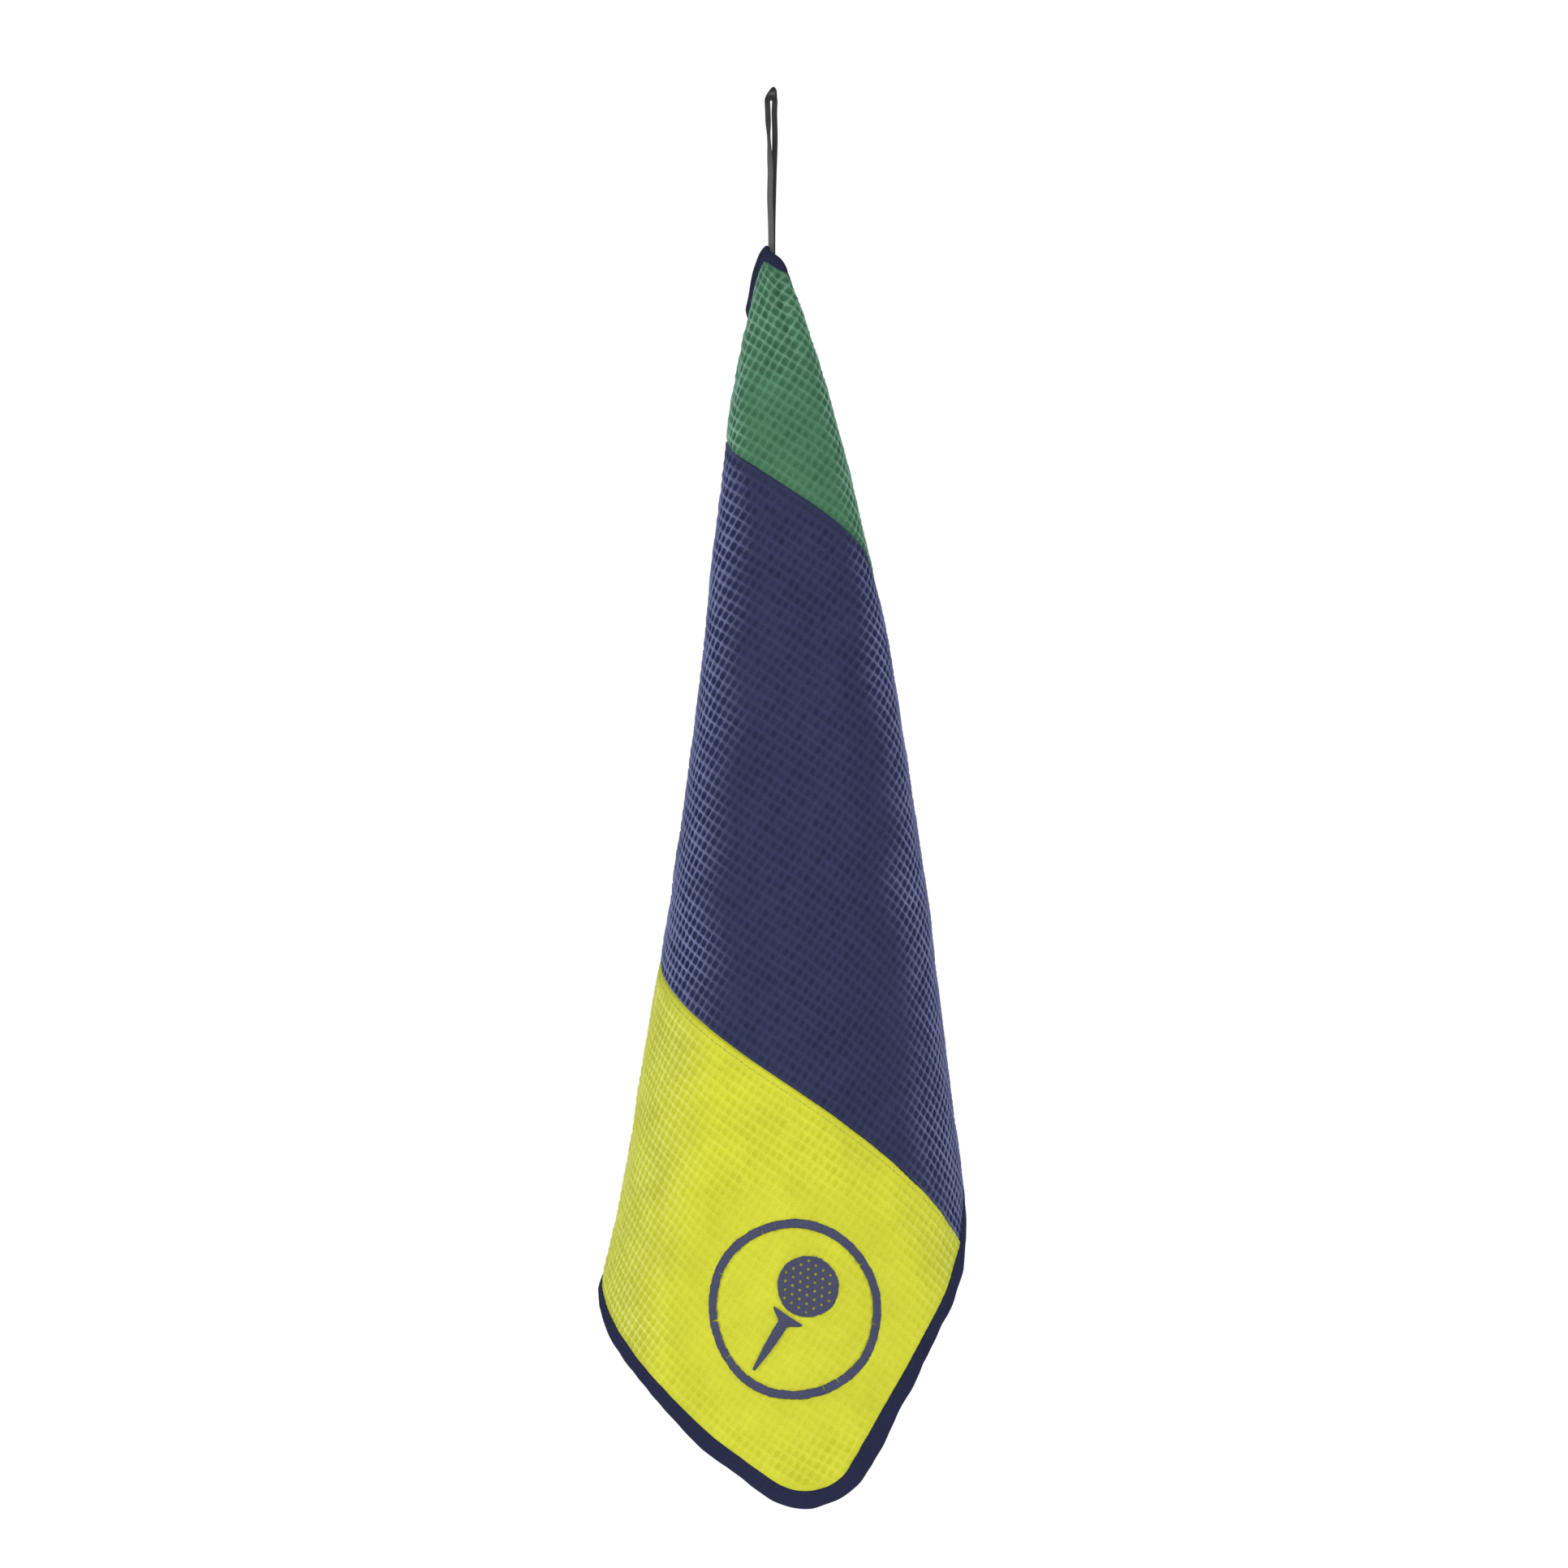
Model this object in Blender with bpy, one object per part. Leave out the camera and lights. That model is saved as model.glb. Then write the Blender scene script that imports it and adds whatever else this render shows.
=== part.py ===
"""Golf towel hung from one corner by a black tape loop.

Three waffle-cloth panels are sewn end to end, a navy tape binds the whole
rim, an emblem is pressed on the lowest panel, and a folded tape loop is sewn
into one rounded corner.  The towel hangs from that loop as a cone: the front
is a rounded face and both sides fold away behind it.

Frame: metres, +Z up.  The origin is the eye of the loop, where a hook would
sit.  The towel hangs towards -Z and its face looks towards -Y.

The cloth is laid out flat first, with ACROSS measured from the long edge and
ALONG measured from the short edge that meet at the hung corner.  drape()
then carries a flat point to its place on the hanging towel.
"""

import math

import bmesh
import bpy
import numpy as np
from mathutils import Matrix, Vector

# ---------------------------------------------------------------- flat cloth
TOWEL_WIDTH = 0.420
TOWEL_LENGTH = 0.590
GREEN_LENGTH = 0.119
YELLOW_LENGTH = 0.196
CORNER_RADIUS = 0.035
BINDING_WIDTH = 0.009
CLOTH_THICKNESS = 0.0016
BINDING_THICKNESS = 0.0024
FIT_GAP = 0.0005
THREAD_GAP = 0.0018

# -------------------------------------------------------------- hanging form
CORNER_DROP = 0.0664
SIDE_START = 0.0137
SIDE_GROWTH = 0.1495
GATHER_SHARE = 2.76
DRIFT = 0.0168
DRIFT_START = 0.040
DRIFT_SPAN = 0.668
CENTRE_TURN = -0.0373
TIP_TURN = -0.4023
TURN_FADE_SHARE = 1.52
FRONT_BULGE = 0.92
DEPTH_BALANCE = 0.205
LIFT = 0.0446
LIFT_START = 0.035
LIFT_SPAN = 0.30

# Folds behind the face, as shares of the half width of the face.
FOLD_CORNER = 0.35
INNER_FOLD_DEPTH = 0.22
INNER_FOLD_LEAN = math.radians(9)
INNER_TURN_START = 0.62
INNER_TURN_BULGE = 0.14
INNER_TURN_DEPTH = 0.26
OUTER_FOLD_DEPTH = 0.40
RETURN_DEPTH = 0.70
RETURN_START = 0.66
RETURN_BULGE = 0.15
LAYER_ROOM = 0.002

# ---------------------------------------------------------------- stitching
THREAD_WIDTH = 0.0006
THREAD_THICKNESS = 0.0003
BINDING_STITCH_INSET = 0.002
SEAM_STITCH_INSET = 0.004

# ------------------------------------------------------------------- emblem
EMBLEM_ACROSS = 0.341
EMBLEM_ALONG = 0.497
RING_RADIUS = 0.0495
RING_WIDTH = 0.0046
BALL_RADIUS = 0.0170
BALL_SHIFT = -0.0150
TEE_GAP = 0.0022
TEE_LENGTH = 0.036
TEE_CUP_HALF = 0.0095
TEE_CUP_LENGTH = 0.006
TEE_STEM_HALF = 0.0030
TEE_TIP_HALF = 0.0007
FILM_THICKNESS = 0.0004

# --------------------------------------------------------------------- loop
TAPE_WIDTH = 0.0031
TAPE_THICKNESS = 0.0010
EYE_WIDTH = 0.0010
EYE_DROP = 0.0014
TIP_RISE = 0.0067
SLIT = 0.0005
STRAND_STACK = 0.0014
STACK_START = -0.022
STACK_END = -0.042
NECK_DROP = 0.0068
HINGE_ABOVE_CORNER = 0.002
HINGE_ROOM = 0.0004
SEWN_END_LENGTH = 0.014
SEWN_END_SHIFT = 0.0004
SEWN_END_ROOM = 0.0003
SEWN_END_PINCH = 0.0006
PATCH_WIDTH = 0.0034
PATCH_HEIGHT = 0.0026
PATCH_THICKNESS = 0.0003
PATCH_RISE = 0.0024

# ------------------------------------------------------------- mesh spacing
FINE_STEP = 0.0028
COARSE_STEP = 0.0125
STEP_GROWTH = 0.14
CORNER_STEPS = 5
SECTION_STEPS = 14

# ----------------------------------------------------------- derived values
LENGTH_TURN = math.atan2(TOWEL_WIDTH, TOWEL_LENGTH)
UPPER_SEAM = GREEN_LENGTH
LOWER_SEAM = TOWEL_LENGTH - YELLOW_LENGTH
CORNER_TIP = CORNER_RADIUS * (math.sqrt(2.0) - 1.0)
GATHER_LENGTH = GATHER_SHARE * CORNER_TIP
TOP_TURN_FADE = TURN_FADE_SHARE * CORNER_TIP
TOP_TURN = (math.pi / 4 - LENGTH_TURN - TIP_TURN) * math.exp(CORNER_TIP / TOP_TURN_FADE)
HINGE_Z = -CORNER_DROP - CORNER_TIP + HINGE_ABOVE_CORNER
STRAND_HALF = STRAND_STACK / 2 + TAPE_THICKNESS / 2

COLOURS = {
    "green_waffle": ((0.02, 0.36, 0.10), 0.85),
    "navy_waffle": ((0.013, 0.020, 0.075), 0.85),
    "yellow_waffle": ((0.78, 0.86, 0.03), 0.85),
    "navy_tape": ((0.012, 0.017, 0.060), 0.75),
    "navy_thread": ((0.016, 0.022, 0.080), 0.6),
    "yellow_thread": ((0.55, 0.60, 0.04), 0.6),
    "navy_film": ((0.010, 0.016, 0.070), 0.55),
    "black_tape": ((0.012, 0.012, 0.013), 0.5),
    "grey_thread": ((0.20, 0.20, 0.21), 0.6),
}


def make_material(name):
    """One plain finish, named for what it covers."""
    colour, roughness = COLOURS[name]
    material = bpy.data.materials.get(name) or bpy.data.materials.new(name)
    material.use_nodes = True
    shader = material.node_tree.nodes["Principled BSDF"]
    shader.inputs["Base Color"].default_value = (*colour, 1.0)
    shader.inputs["Roughness"].default_value = roughness
    shader.inputs["Metallic"].default_value = 0.0
    return material


# ------------------------------------------------------------------- drape
def half_width(reach):
    """Half the width of the hanging face at a distance from the hung corner."""
    gathered = 1.0 - math.exp(-reach / GATHER_LENGTH)
    return (SIDE_START + SIDE_GROWTH * reach) * gathered


def centre_drift(reach):
    """How far the middle of the face strays sideways from the plumb line."""
    return DRIFT * math.sin(math.pi * (reach - DRIFT_START) / DRIFT_SPAN)


def quarter_turn(start, end, flat_first):
    """Points of a quarter ellipse that leaves start along Y or along X."""
    points = []
    for step in range(1, SECTION_STEPS + 1):
        angle = math.pi / 2 * step / SECTION_STEPS
        rise, run = math.sin(angle), 1.0 - math.cos(angle)
        along_x, along_y = (rise, run) if flat_first else (run, rise)
        x = start[0] + (end[0] - start[0]) * along_x
        y = start[1] + (end[1] - start[1]) * along_y
        points.append((x, y))
    return points


def face_and_outer_fold(half):
    """Section line from the middle of the face round the right side and back."""
    depth = OUTER_FOLD_DEPTH * half + LAYER_ROOM
    back = RETURN_DEPTH * half + 2 * LAYER_ROOM
    turn = (-RETURN_START - RETURN_BULGE) * half
    middle = (depth + back) / 2
    line = [(0.0, -FRONT_BULGE * half)]
    line += quarter_turn(line[-1], (half, 0.0), True)
    line += quarter_turn(line[-1], ((1 - FOLD_CORNER) * half, depth), False)
    line.append((-RETURN_START * half, depth))
    line += quarter_turn(line[-1], (turn, middle), True)
    line += quarter_turn(line[-1], (-RETURN_START * half, back), False)
    line.append((4 * half, back))
    return np.array(line)


def face_and_inner_fold(half):
    """Section line from the middle of the face round the left side and back."""
    depth = INNER_FOLD_DEPTH * half
    line = [(0.0, -FRONT_BULGE * half)]
    line += quarter_turn(line[-1], (-half, 0.0), True)
    line += quarter_turn(line[-1], ((FOLD_CORNER - 1) * half, depth), False)
    run = INNER_TURN_START * half - line[-1][0]
    near = depth - run * math.tan(INNER_FOLD_LEAN)
    line.append((INNER_TURN_START * half, near))
    middle = near - INNER_TURN_DEPTH * half / 2
    line += quarter_turn(line[-1], (line[-1][0] + INNER_TURN_BULGE * half, middle), True)
    line += quarter_turn(line[-1], (INNER_TURN_START * half, near - INNER_TURN_DEPTH * half), False)
    line.append((-INNER_TURN_START * half, line[-1][1]))
    return np.array(line)


def point_at(line, distance):
    """The point of a section line at a distance along it."""
    steps = np.hypot(*np.diff(line, axis=0).T)
    travelled = np.concatenate([[0.0], np.cumsum(steps)])
    x = np.interp(distance, travelled, line[:, 0])
    return x, np.interp(distance, travelled, line[:, 1])


def smooth_step(value):
    """0 below 0, 1 above 1 and a smooth rise between."""
    value = min(max(value, 0.0), 1.0)
    return value * value * (3 - 2 * value)


def gathered_point(across, along):
    """Place of a flat point, before the cloth is set in front of the loop."""
    reach = max(math.hypot(across, along), 1e-6)
    turn = math.atan2(across, along) - LENGTH_TURN
    half = half_width(reach)
    drift = centre_drift(reach)
    twist = TOP_TURN * math.exp(-reach / TOP_TURN_FADE)
    middle = drift / reach + CENTRE_TURN + twist
    distance = reach * (turn - middle)
    fold = face_and_outer_fold if distance > 0 else face_and_inner_fold
    x, y = point_at(fold(half), abs(distance))
    x += drift
    y += DEPTH_BALANCE * half
    down = math.sqrt(max(reach * reach - x * x - y * y, (0.3 * reach) ** 2))
    lift = LIFT * smooth_step((-turn - LIFT_START) / LIFT_SPAN) * (reach / TOWEL_LENGTH) ** 2
    return Vector((x, y, -CORNER_DROP - down * (1 - lift)))


def set_back():
    """Depth that leaves room for the loop's sewn end behind the corner's tip."""
    tip = CORNER_TIP * math.sqrt(0.5)
    room = BINDING_THICKNESS / 2 + SEWN_END_ROOM + STRAND_HALF
    return -gathered_point(tip, tip).y - room


def drape_point(across, along):
    """Carry one flat point of the cloth to its place on the hanging towel."""
    return gathered_point(across, along) + Vector((0.0, SET_BACK, 0.0))


def drape(across, along, rise=0.0):
    """Hanging place of a flat point, raised off the middle of the cloth by rise."""
    place = drape_point(across, along)
    if rise == 0.0:
        return place
    nudge = 0.0005
    one = drape_point(across + nudge, along) - drape_point(across - nudge, along)
    two = drape_point(across, along + nudge) - drape_point(across, along - nudge)
    return place + rise * two.cross(one).normalized()


SET_BACK = set_back()


# -------------------------------------------------------------- mesh makers
def new_object(name, mesh, material, collection):
    """Link a mesh as a named object with one material."""
    mesh.materials.append(make_material(material))
    made = bpy.data.objects.new(name, mesh)
    collection.objects.link(made)
    return made


def grid_sheet(name, columns, rows, place, faces_at, material, collection):
    """A closed sheet of columns x rows points with a back and a face side.

    Args:
        columns: values handed to place across the sheet.
        rows: values handed to place along the sheet.
        place: function from a column, a row and a rise to a point.
        faces_at: the rise of the back side and of the face side.
    """
    across, along = len(columns) - 1, len(rows) - 1
    work = bmesh.new()
    bmesh.ops.create_grid(work, x_segments=across, y_segments=along, size=0.5)
    column_of = work.verts.layers.int.new("column")
    row_of = work.verts.layers.int.new("row")
    for vertex in work.verts:
        vertex[column_of] = round((vertex.co.x + 0.5) * across)
        vertex[row_of] = round((vertex.co.y + 0.5) * along)
    back = list(work.verts)
    grown = bmesh.ops.extrude_face_region(work, geom=work.faces[:], use_keep_orig=True)
    face = [item for item in grown["geom"] if isinstance(item, bmesh.types.BMVert)]
    for side, rise in zip((back, face), faces_at):
        for vertex in side:
            vertex.co = place(columns[vertex[column_of]], rows[vertex[row_of]], rise)
    close_band(work)
    bmesh.ops.recalc_face_normals(work, faces=work.faces)
    mesh = bpy.data.meshes.new(name)
    work.to_mesh(mesh)
    work.free()
    mesh.shade_smooth()
    mesh.set_sharp_from_angle(angle=math.radians(50))
    return new_object(name, mesh, material, collection)


def close_band(work):
    """Join the two ends of a sheet whose first and last columns meet."""
    doubles = bmesh.ops.find_doubles(work, verts=work.verts, dist=0.000002)["targetmap"]
    if not doubles:
        return
    ends = [face for face in work.faces if all(v in doubles or v in doubles.values() for v in face.verts)]
    bmesh.ops.delete(work, geom=ends, context='FACES_ONLY')
    bmesh.ops.remove_doubles(work, verts=work.verts, dist=0.000002)


def spaced(start, end, fine_from=None):
    """Values from start to end, close together near the hung corner."""
    values = [start]
    while True:
        step = COARSE_STEP
        if fine_from is not None:
            step = min(max(STEP_GROWTH * (values[-1] - fine_from), FINE_STEP), COARSE_STEP)
        if values[-1] + 1.5 * step >= end:
            break
        values.append(values[-1] + step)
    values.append(end)
    return values


# ------------------------------------------------------------------- panels
PANEL_EDGE = BINDING_WIDTH + FIT_GAP
PANEL_CORNER = CORNER_RADIUS - PANEL_EDGE
CLOTH_FACES = (-CLOTH_THICKNESS / 2, CLOTH_THICKNESS / 2)


def panel_inset(along):
    """Distance from a long edge to where a panel row starts."""
    end_distance = min(along, TOWEL_LENGTH - along) - PANEL_EDGE
    if end_distance >= PANEL_CORNER:
        return PANEL_EDGE
    over = PANEL_CORNER - end_distance
    return PANEL_EDGE + PANEL_CORNER - math.sqrt(max(PANEL_CORNER ** 2 - over ** 2, 0.0))


def corner_rows():
    """Row distances that follow a rounded corner from its end to its side."""
    turns = [math.pi / 2 * step / CORNER_STEPS for step in range(CORNER_STEPS + 1)]
    return [PANEL_EDGE + PANEL_CORNER * (1 - math.cos(turn)) for turn in turns]


def make_panel(name, rows, columns, material, collection):
    """One cloth panel between two seams or between a seam and an end."""

    def place(share, along, rise):
        inset = panel_inset(along)
        return drape(inset + share * (TOWEL_WIDTH - 2 * inset), along, rise)

    return grid_sheet(name, columns, rows, place, CLOTH_FACES, material, collection)


def shares(values):
    """Scale a rising list to run from 0 to 1."""
    return [(value - values[0]) / (values[-1] - values[0]) for value in values]


def make_panels(collection):
    """Green, navy and yellow panels with a gap at each seam."""
    side = TOWEL_WIDTH - PANEL_EDGE
    fine = shares(spaced(PANEL_EDGE, side, 0.0))
    half_gap = FIT_GAP / 2
    top = corner_rows()
    green = top[:-1] + spaced(top[-1], UPPER_SEAM - half_gap, 0.0)
    navy = spaced(UPPER_SEAM + half_gap, LOWER_SEAM - half_gap)
    bottom = [TOWEL_LENGTH - value for value in reversed(corner_rows())]
    yellow = spaced(LOWER_SEAM + half_gap, bottom[0])[:-1] + bottom
    make_panel("green_panel", green, fine, "green_waffle", collection)
    make_panel("navy_panel", navy, fine, "navy_waffle", collection)
    make_panel("yellow_panel", yellow, fine, "yellow_waffle", collection)


# ------------------------------------------------------------------ binding
def rim_stations():
    """Stops round the rim: a straight point or a corner centre and its angle.

    Each stop is (centre across, centre along, outward across, outward along).
    The centre lies on the line of corner centres, CORNER_RADIUS inside the rim.
    """
    low, wide, long = CORNER_RADIUS, TOWEL_WIDTH - CORNER_RADIUS, TOWEL_LENGTH - CORNER_RADIUS
    stops = []

    def corner(centre, start, steps):
        for step in range(steps + 1):
            angle = start + math.pi / 2 * step / steps
            stops.append((*centre, math.cos(angle), math.sin(angle)))

    def side(begin, finish, outward, values):
        for value in values[1:-1]:
            share = (value - values[0]) / (values[-1] - values[0])
            across = begin[0] + share * (finish[0] - begin[0])
            along = begin[1] + share * (finish[1] - begin[1])
            stops.append((across, along, *outward))

    width_values = spaced(low, wide, 0.0)
    length_values = spaced(low, long, 0.0)
    corner((low, low), math.pi, 3 * CORNER_STEPS)
    side((low, low), (wide, low), (0.0, -1.0), width_values)
    corner((wide, low), 1.5 * math.pi, CORNER_STEPS + 2)
    side((wide, low), (wide, long), (1.0, 0.0), spaced(low, long))
    corner((wide, long), 0.0, CORNER_STEPS + 2)
    side((wide, long), (low, long), (0.0, 1.0), spaced(low, wide))
    corner((low, long), 0.5 * math.pi, CORNER_STEPS + 2)
    back = [low + long - value for value in reversed(length_values)]
    side((low, long), (low, low), (-1.0, 0.0), back)
    stops.append(stops[0])
    return stops


def make_rim_band(name, inner, outer, faces_at, material, collection):
    """A closed band round the rim between two distances from its edge."""

    def edge_place(stop, inset, rise):
        across, along, out_across, out_along = stop
        reach = CORNER_RADIUS - inset
        return drape(across + out_across * reach, along + out_along * reach, rise)

    def place(stop, inset, rise):
        share = inset / BINDING_WIDTH
        return edge_place(stop, 0.0, rise).lerp(edge_place(stop, BINDING_WIDTH, rise), share)

    return grid_sheet(name, rim_stations(), [outer, inner], place, faces_at, material, collection)


def make_binding(collection):
    """The binding tape and the thread line near its inner edge."""
    half = BINDING_THICKNESS / 2
    make_rim_band("edge_binding", BINDING_WIDTH, 0.0, (-half, half), "navy_tape", collection)
    inner = BINDING_WIDTH - BINDING_STITCH_INSET
    make_rim_band("binding_stitching", inner, inner - THREAD_WIDTH, thread_faces(half),
                  "navy_thread", collection)


def thread_faces(surface):
    """Rises of the two sides of a thread that lies on a surface."""
    return surface + THREAD_GAP, surface + THREAD_GAP + THREAD_THICKNESS


# -------------------------------------------------------------------- seams
def make_seam_stitching(name, seam, material, collection):
    """The thread line that holds a seam allowance down, beside its seam."""
    columns = spaced(PANEL_EDGE, TOWEL_WIDTH - PANEL_EDGE, 0.0)
    first_row = seam + FIT_GAP / 2
    start = SEAM_STITCH_INSET / COARSE_STEP
    rows = [start, start + THREAD_WIDTH / COARSE_STEP]

    def place(across, share, rise):
        near = drape(across, first_row, rise)
        return near.lerp(drape(across, first_row + COARSE_STEP, rise), share)

    return grid_sheet(name, columns, rows, place, thread_faces(CLOTH_THICKNESS / 2),
                      material, collection)


# ------------------------------------------------------------------- emblem
FILM_BACK = CLOTH_THICKNESS / 2 + FIT_GAP
FILM_FACES = (FILM_BACK, FILM_BACK + FILM_THICKNESS)


def on_emblem(side, down, rise):
    """A point of the emblem, measured from its middle, on the yellow face."""
    return drape(EMBLEM_ACROSS + side, EMBLEM_ALONG + down, rise)


def make_ring(collection):
    """The round border of the emblem."""
    turns = [2 * math.pi * step / 48 for step in range(49)]
    edges = [RING_RADIUS - RING_WIDTH, RING_RADIUS]

    def place(turn, radius, rise):
        return on_emblem(radius * math.cos(turn), radius * math.sin(turn), rise)

    return grid_sheet("emblem_ring", turns, edges, place, FILM_FACES, "navy_film", collection)


def make_ball(collection):
    """The round ball of the emblem."""
    steps = [-1.0 + step / 4 for step in range(9)]

    def place(side, down, rise):
        stretch = BALL_RADIUS * max(abs(side), abs(down)) / max(math.hypot(side, down), 1e-9)
        return on_emblem(side * stretch, down * stretch + BALL_SHIFT, rise)

    return grid_sheet("emblem_ball", steps, steps, place, FILM_FACES, "navy_film", collection)


def tee_half_width(down):
    """Half the width of the tee at a distance below its cup's rim."""
    if down < TEE_CUP_LENGTH:
        share = smooth_step(down / TEE_CUP_LENGTH)
        return TEE_CUP_HALF + (TEE_STEM_HALF - TEE_CUP_HALF) * share
    share = (down - TEE_CUP_LENGTH) / (TEE_LENGTH - TEE_CUP_LENGTH)
    return TEE_STEM_HALF + (TEE_TIP_HALF - TEE_STEM_HALF) * share ** 2


def make_tee(collection):
    """The tee that the emblem's ball sits on."""
    top = BALL_SHIFT + BALL_RADIUS + TEE_GAP
    cup = [TEE_CUP_LENGTH * step / 5 for step in range(6)]
    stem_length = TEE_LENGTH - TEE_CUP_LENGTH
    stem = [TEE_CUP_LENGTH + stem_length * step / 6 for step in range(1, 7)]

    def place(side, down, rise):
        return on_emblem(side * tee_half_width(down), top + down, rise)

    return grid_sheet("emblem_tee", [-1.0, 0.0, 1.0], cup + stem, place, FILM_FACES,
                      "navy_film", collection)


# --------------------------------------------------------------------- loop
LOOP_END_Z = HINGE_Z + STRAND_HALF + HINGE_ROOM


def strand_centre(z):
    """Sideways place of a strand's middle at a height below the eye."""
    apart = (TAPE_WIDTH + SLIT) / 2
    close = smooth_step((STACK_START - z) / (STACK_START - LOOP_END_Z))
    return apart + (SEWN_END_SHIFT - apart) * close


def loop_stops():
    """Stops along the tape: middle x, middle z, outward x, outward z and depth.

    The tape runs up the left strand, round the folded top and down the right.
    """
    heights = [LOOP_END_Z + step * (STACK_START - LOOP_END_Z) / 9 for step in range(9)]
    heights += [STACK_START, STACK_START / 2, -NECK_DROP]
    side = []
    for z in heights:
        stack = STRAND_STACK / 2 * smooth_step((STACK_START - z) / (STACK_START - STACK_END))
        side.append((strand_centre(z), z, 1.0, 0.0, stack))
    left = [(-x + 2 * SEWN_END_SHIFT * share_low(z), z, -1.0, 0.0, -d) for x, z, _, _, d in side]
    right = [(x, z, 1.0, 0.0, d) for x, z, _, _, d in reversed(side)]
    middle = EYE_WIDTH / 2 + TAPE_WIDTH / 2
    fold = []
    for step in range(1, 8):
        angle = math.pi * step / 8
        x = -middle * math.cos(angle)
        z = middle * math.sin(angle) - EYE_DROP
        fold.append((x, z, -math.cos(angle), math.sin(angle), 0.0))
    return left + fold + right


def share_low(z):
    """1 at the sewn end of the loop and 0 above the part where strands stack."""
    return smooth_step((STACK_START - z) / (STACK_START - LOOP_END_Z))


def make_loop(collection):
    """The hanging loop: one tape folded to a point, its strands stacked below."""
    stops = loop_stops()

    def place(stop, side, rise):
        x, z, out_x, out_z, depth = stop
        point_up = TIP_RISE - (EYE_WIDTH / 2 + TAPE_WIDTH - EYE_DROP)
        peak = point_up * max(out_z, 0.0) ** 4 if side > 0 else 0.0
        half = side * TAPE_WIDTH / 2
        return Vector((x + out_x * half, depth - rise, z + out_z * half + peak))

    faces_at = (-TAPE_THICKNESS / 2, TAPE_THICKNESS / 2)
    return grid_sheet("hanging_loop", stops, [-1.0, 1.0], place, faces_at, "black_tape",
                      collection)


def make_fold_stitch(collection):
    """The small grey stitched patch on the face of the folded top."""
    bpy.ops.mesh.primitive_cube_add(size=1.0)
    patch = bpy.context.object
    patch.name = "loop_fold_stitching"
    patch.data.name = patch.name
    shape = Matrix.Diagonal((PATCH_WIDTH, PATCH_THICKNESS, PATCH_HEIGHT, 1.0))
    patch.data.transform(shape)
    depth = TAPE_THICKNESS / 2 + FIT_GAP + PATCH_THICKNESS / 2
    patch.location = (0.0, -depth, PATCH_RISE)
    patch.data.materials.append(make_material("grey_thread"))
    for owner in list(patch.users_collection):
        owner.objects.unlink(patch)
    collection.objects.link(patch)
    return patch


def make_sewn_end(collection):
    """Both ends of the loop's tape, stacked and sewn under the corner.

    The top is round about the line on which the tape bends, so the towel
    swings without its edge meeting the loop above.
    """
    curve = bpy.data.curves.new("loop_sewn_end", 'CURVE')
    curve.dimensions = '2D'
    curve.fill_mode = 'BOTH'
    curve.extrude = (TAPE_WIDTH - SEWN_END_PINCH) / 2
    outline = curve.splines.new('POLY')
    round_top = [math.pi * step / 8 for step in range(9)]
    points = [(STRAND_HALF * math.cos(turn), STRAND_HALF * math.sin(turn)) for turn in round_top]
    points += [(-STRAND_HALF, -SEWN_END_LENGTH), (STRAND_HALF, -SEWN_END_LENGTH)]
    outline.points.add(len(points) - 1)
    for point, (depth, height) in zip(outline.points, points):
        point.co = (depth, height, 0.0, 1.0)
    outline.use_cyclic_u = True
    curve.materials.append(make_material("black_tape"))
    made = bpy.data.objects.new("loop_sewn_end", curve)
    collection.objects.link(made)
    made.matrix_world = Matrix.Translation((SEWN_END_SHIFT, 0.0, HINGE_Z)) @ Matrix(
        ((0, 0, 1, 0), (1, 0, 0, 0), (0, 1, 0, 0), (0, 0, 0, 1)))
    return made


def main():
    """Clear the scene and build every piece of the towel."""
    for old in list(bpy.data.objects):
        bpy.data.objects.remove(old)
    collection = bpy.data.collections.new("golf_towel")
    bpy.context.scene.collection.children.link(collection)
    make_panels(collection)
    make_binding(collection)
    make_seam_stitching("upper_seam_stitching", UPPER_SEAM, "navy_thread", collection)
    make_seam_stitching("lower_seam_stitching", LOWER_SEAM, "yellow_thread", collection)
    make_ring(collection)
    make_ball(collection)
    make_tee(collection)
    make_loop(collection)
    make_fold_stitch(collection)
    make_sewn_end(collection)


main()
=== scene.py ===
"""Looks of a golf towel that hangs from one rounded corner by a tape loop.

The towel is laid out flat first: "across" is measured from the long edge and
"along" from the short edge that meet at the hung corner.  HangingForm carries
a flat point to its place on the hanging towel, and every cloth piece, tape and
thread is built through it, so that they all follow the same drape.
"""

import logging
import math
from dataclasses import dataclass, field
from enum import Enum
from typing import Callable

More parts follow.
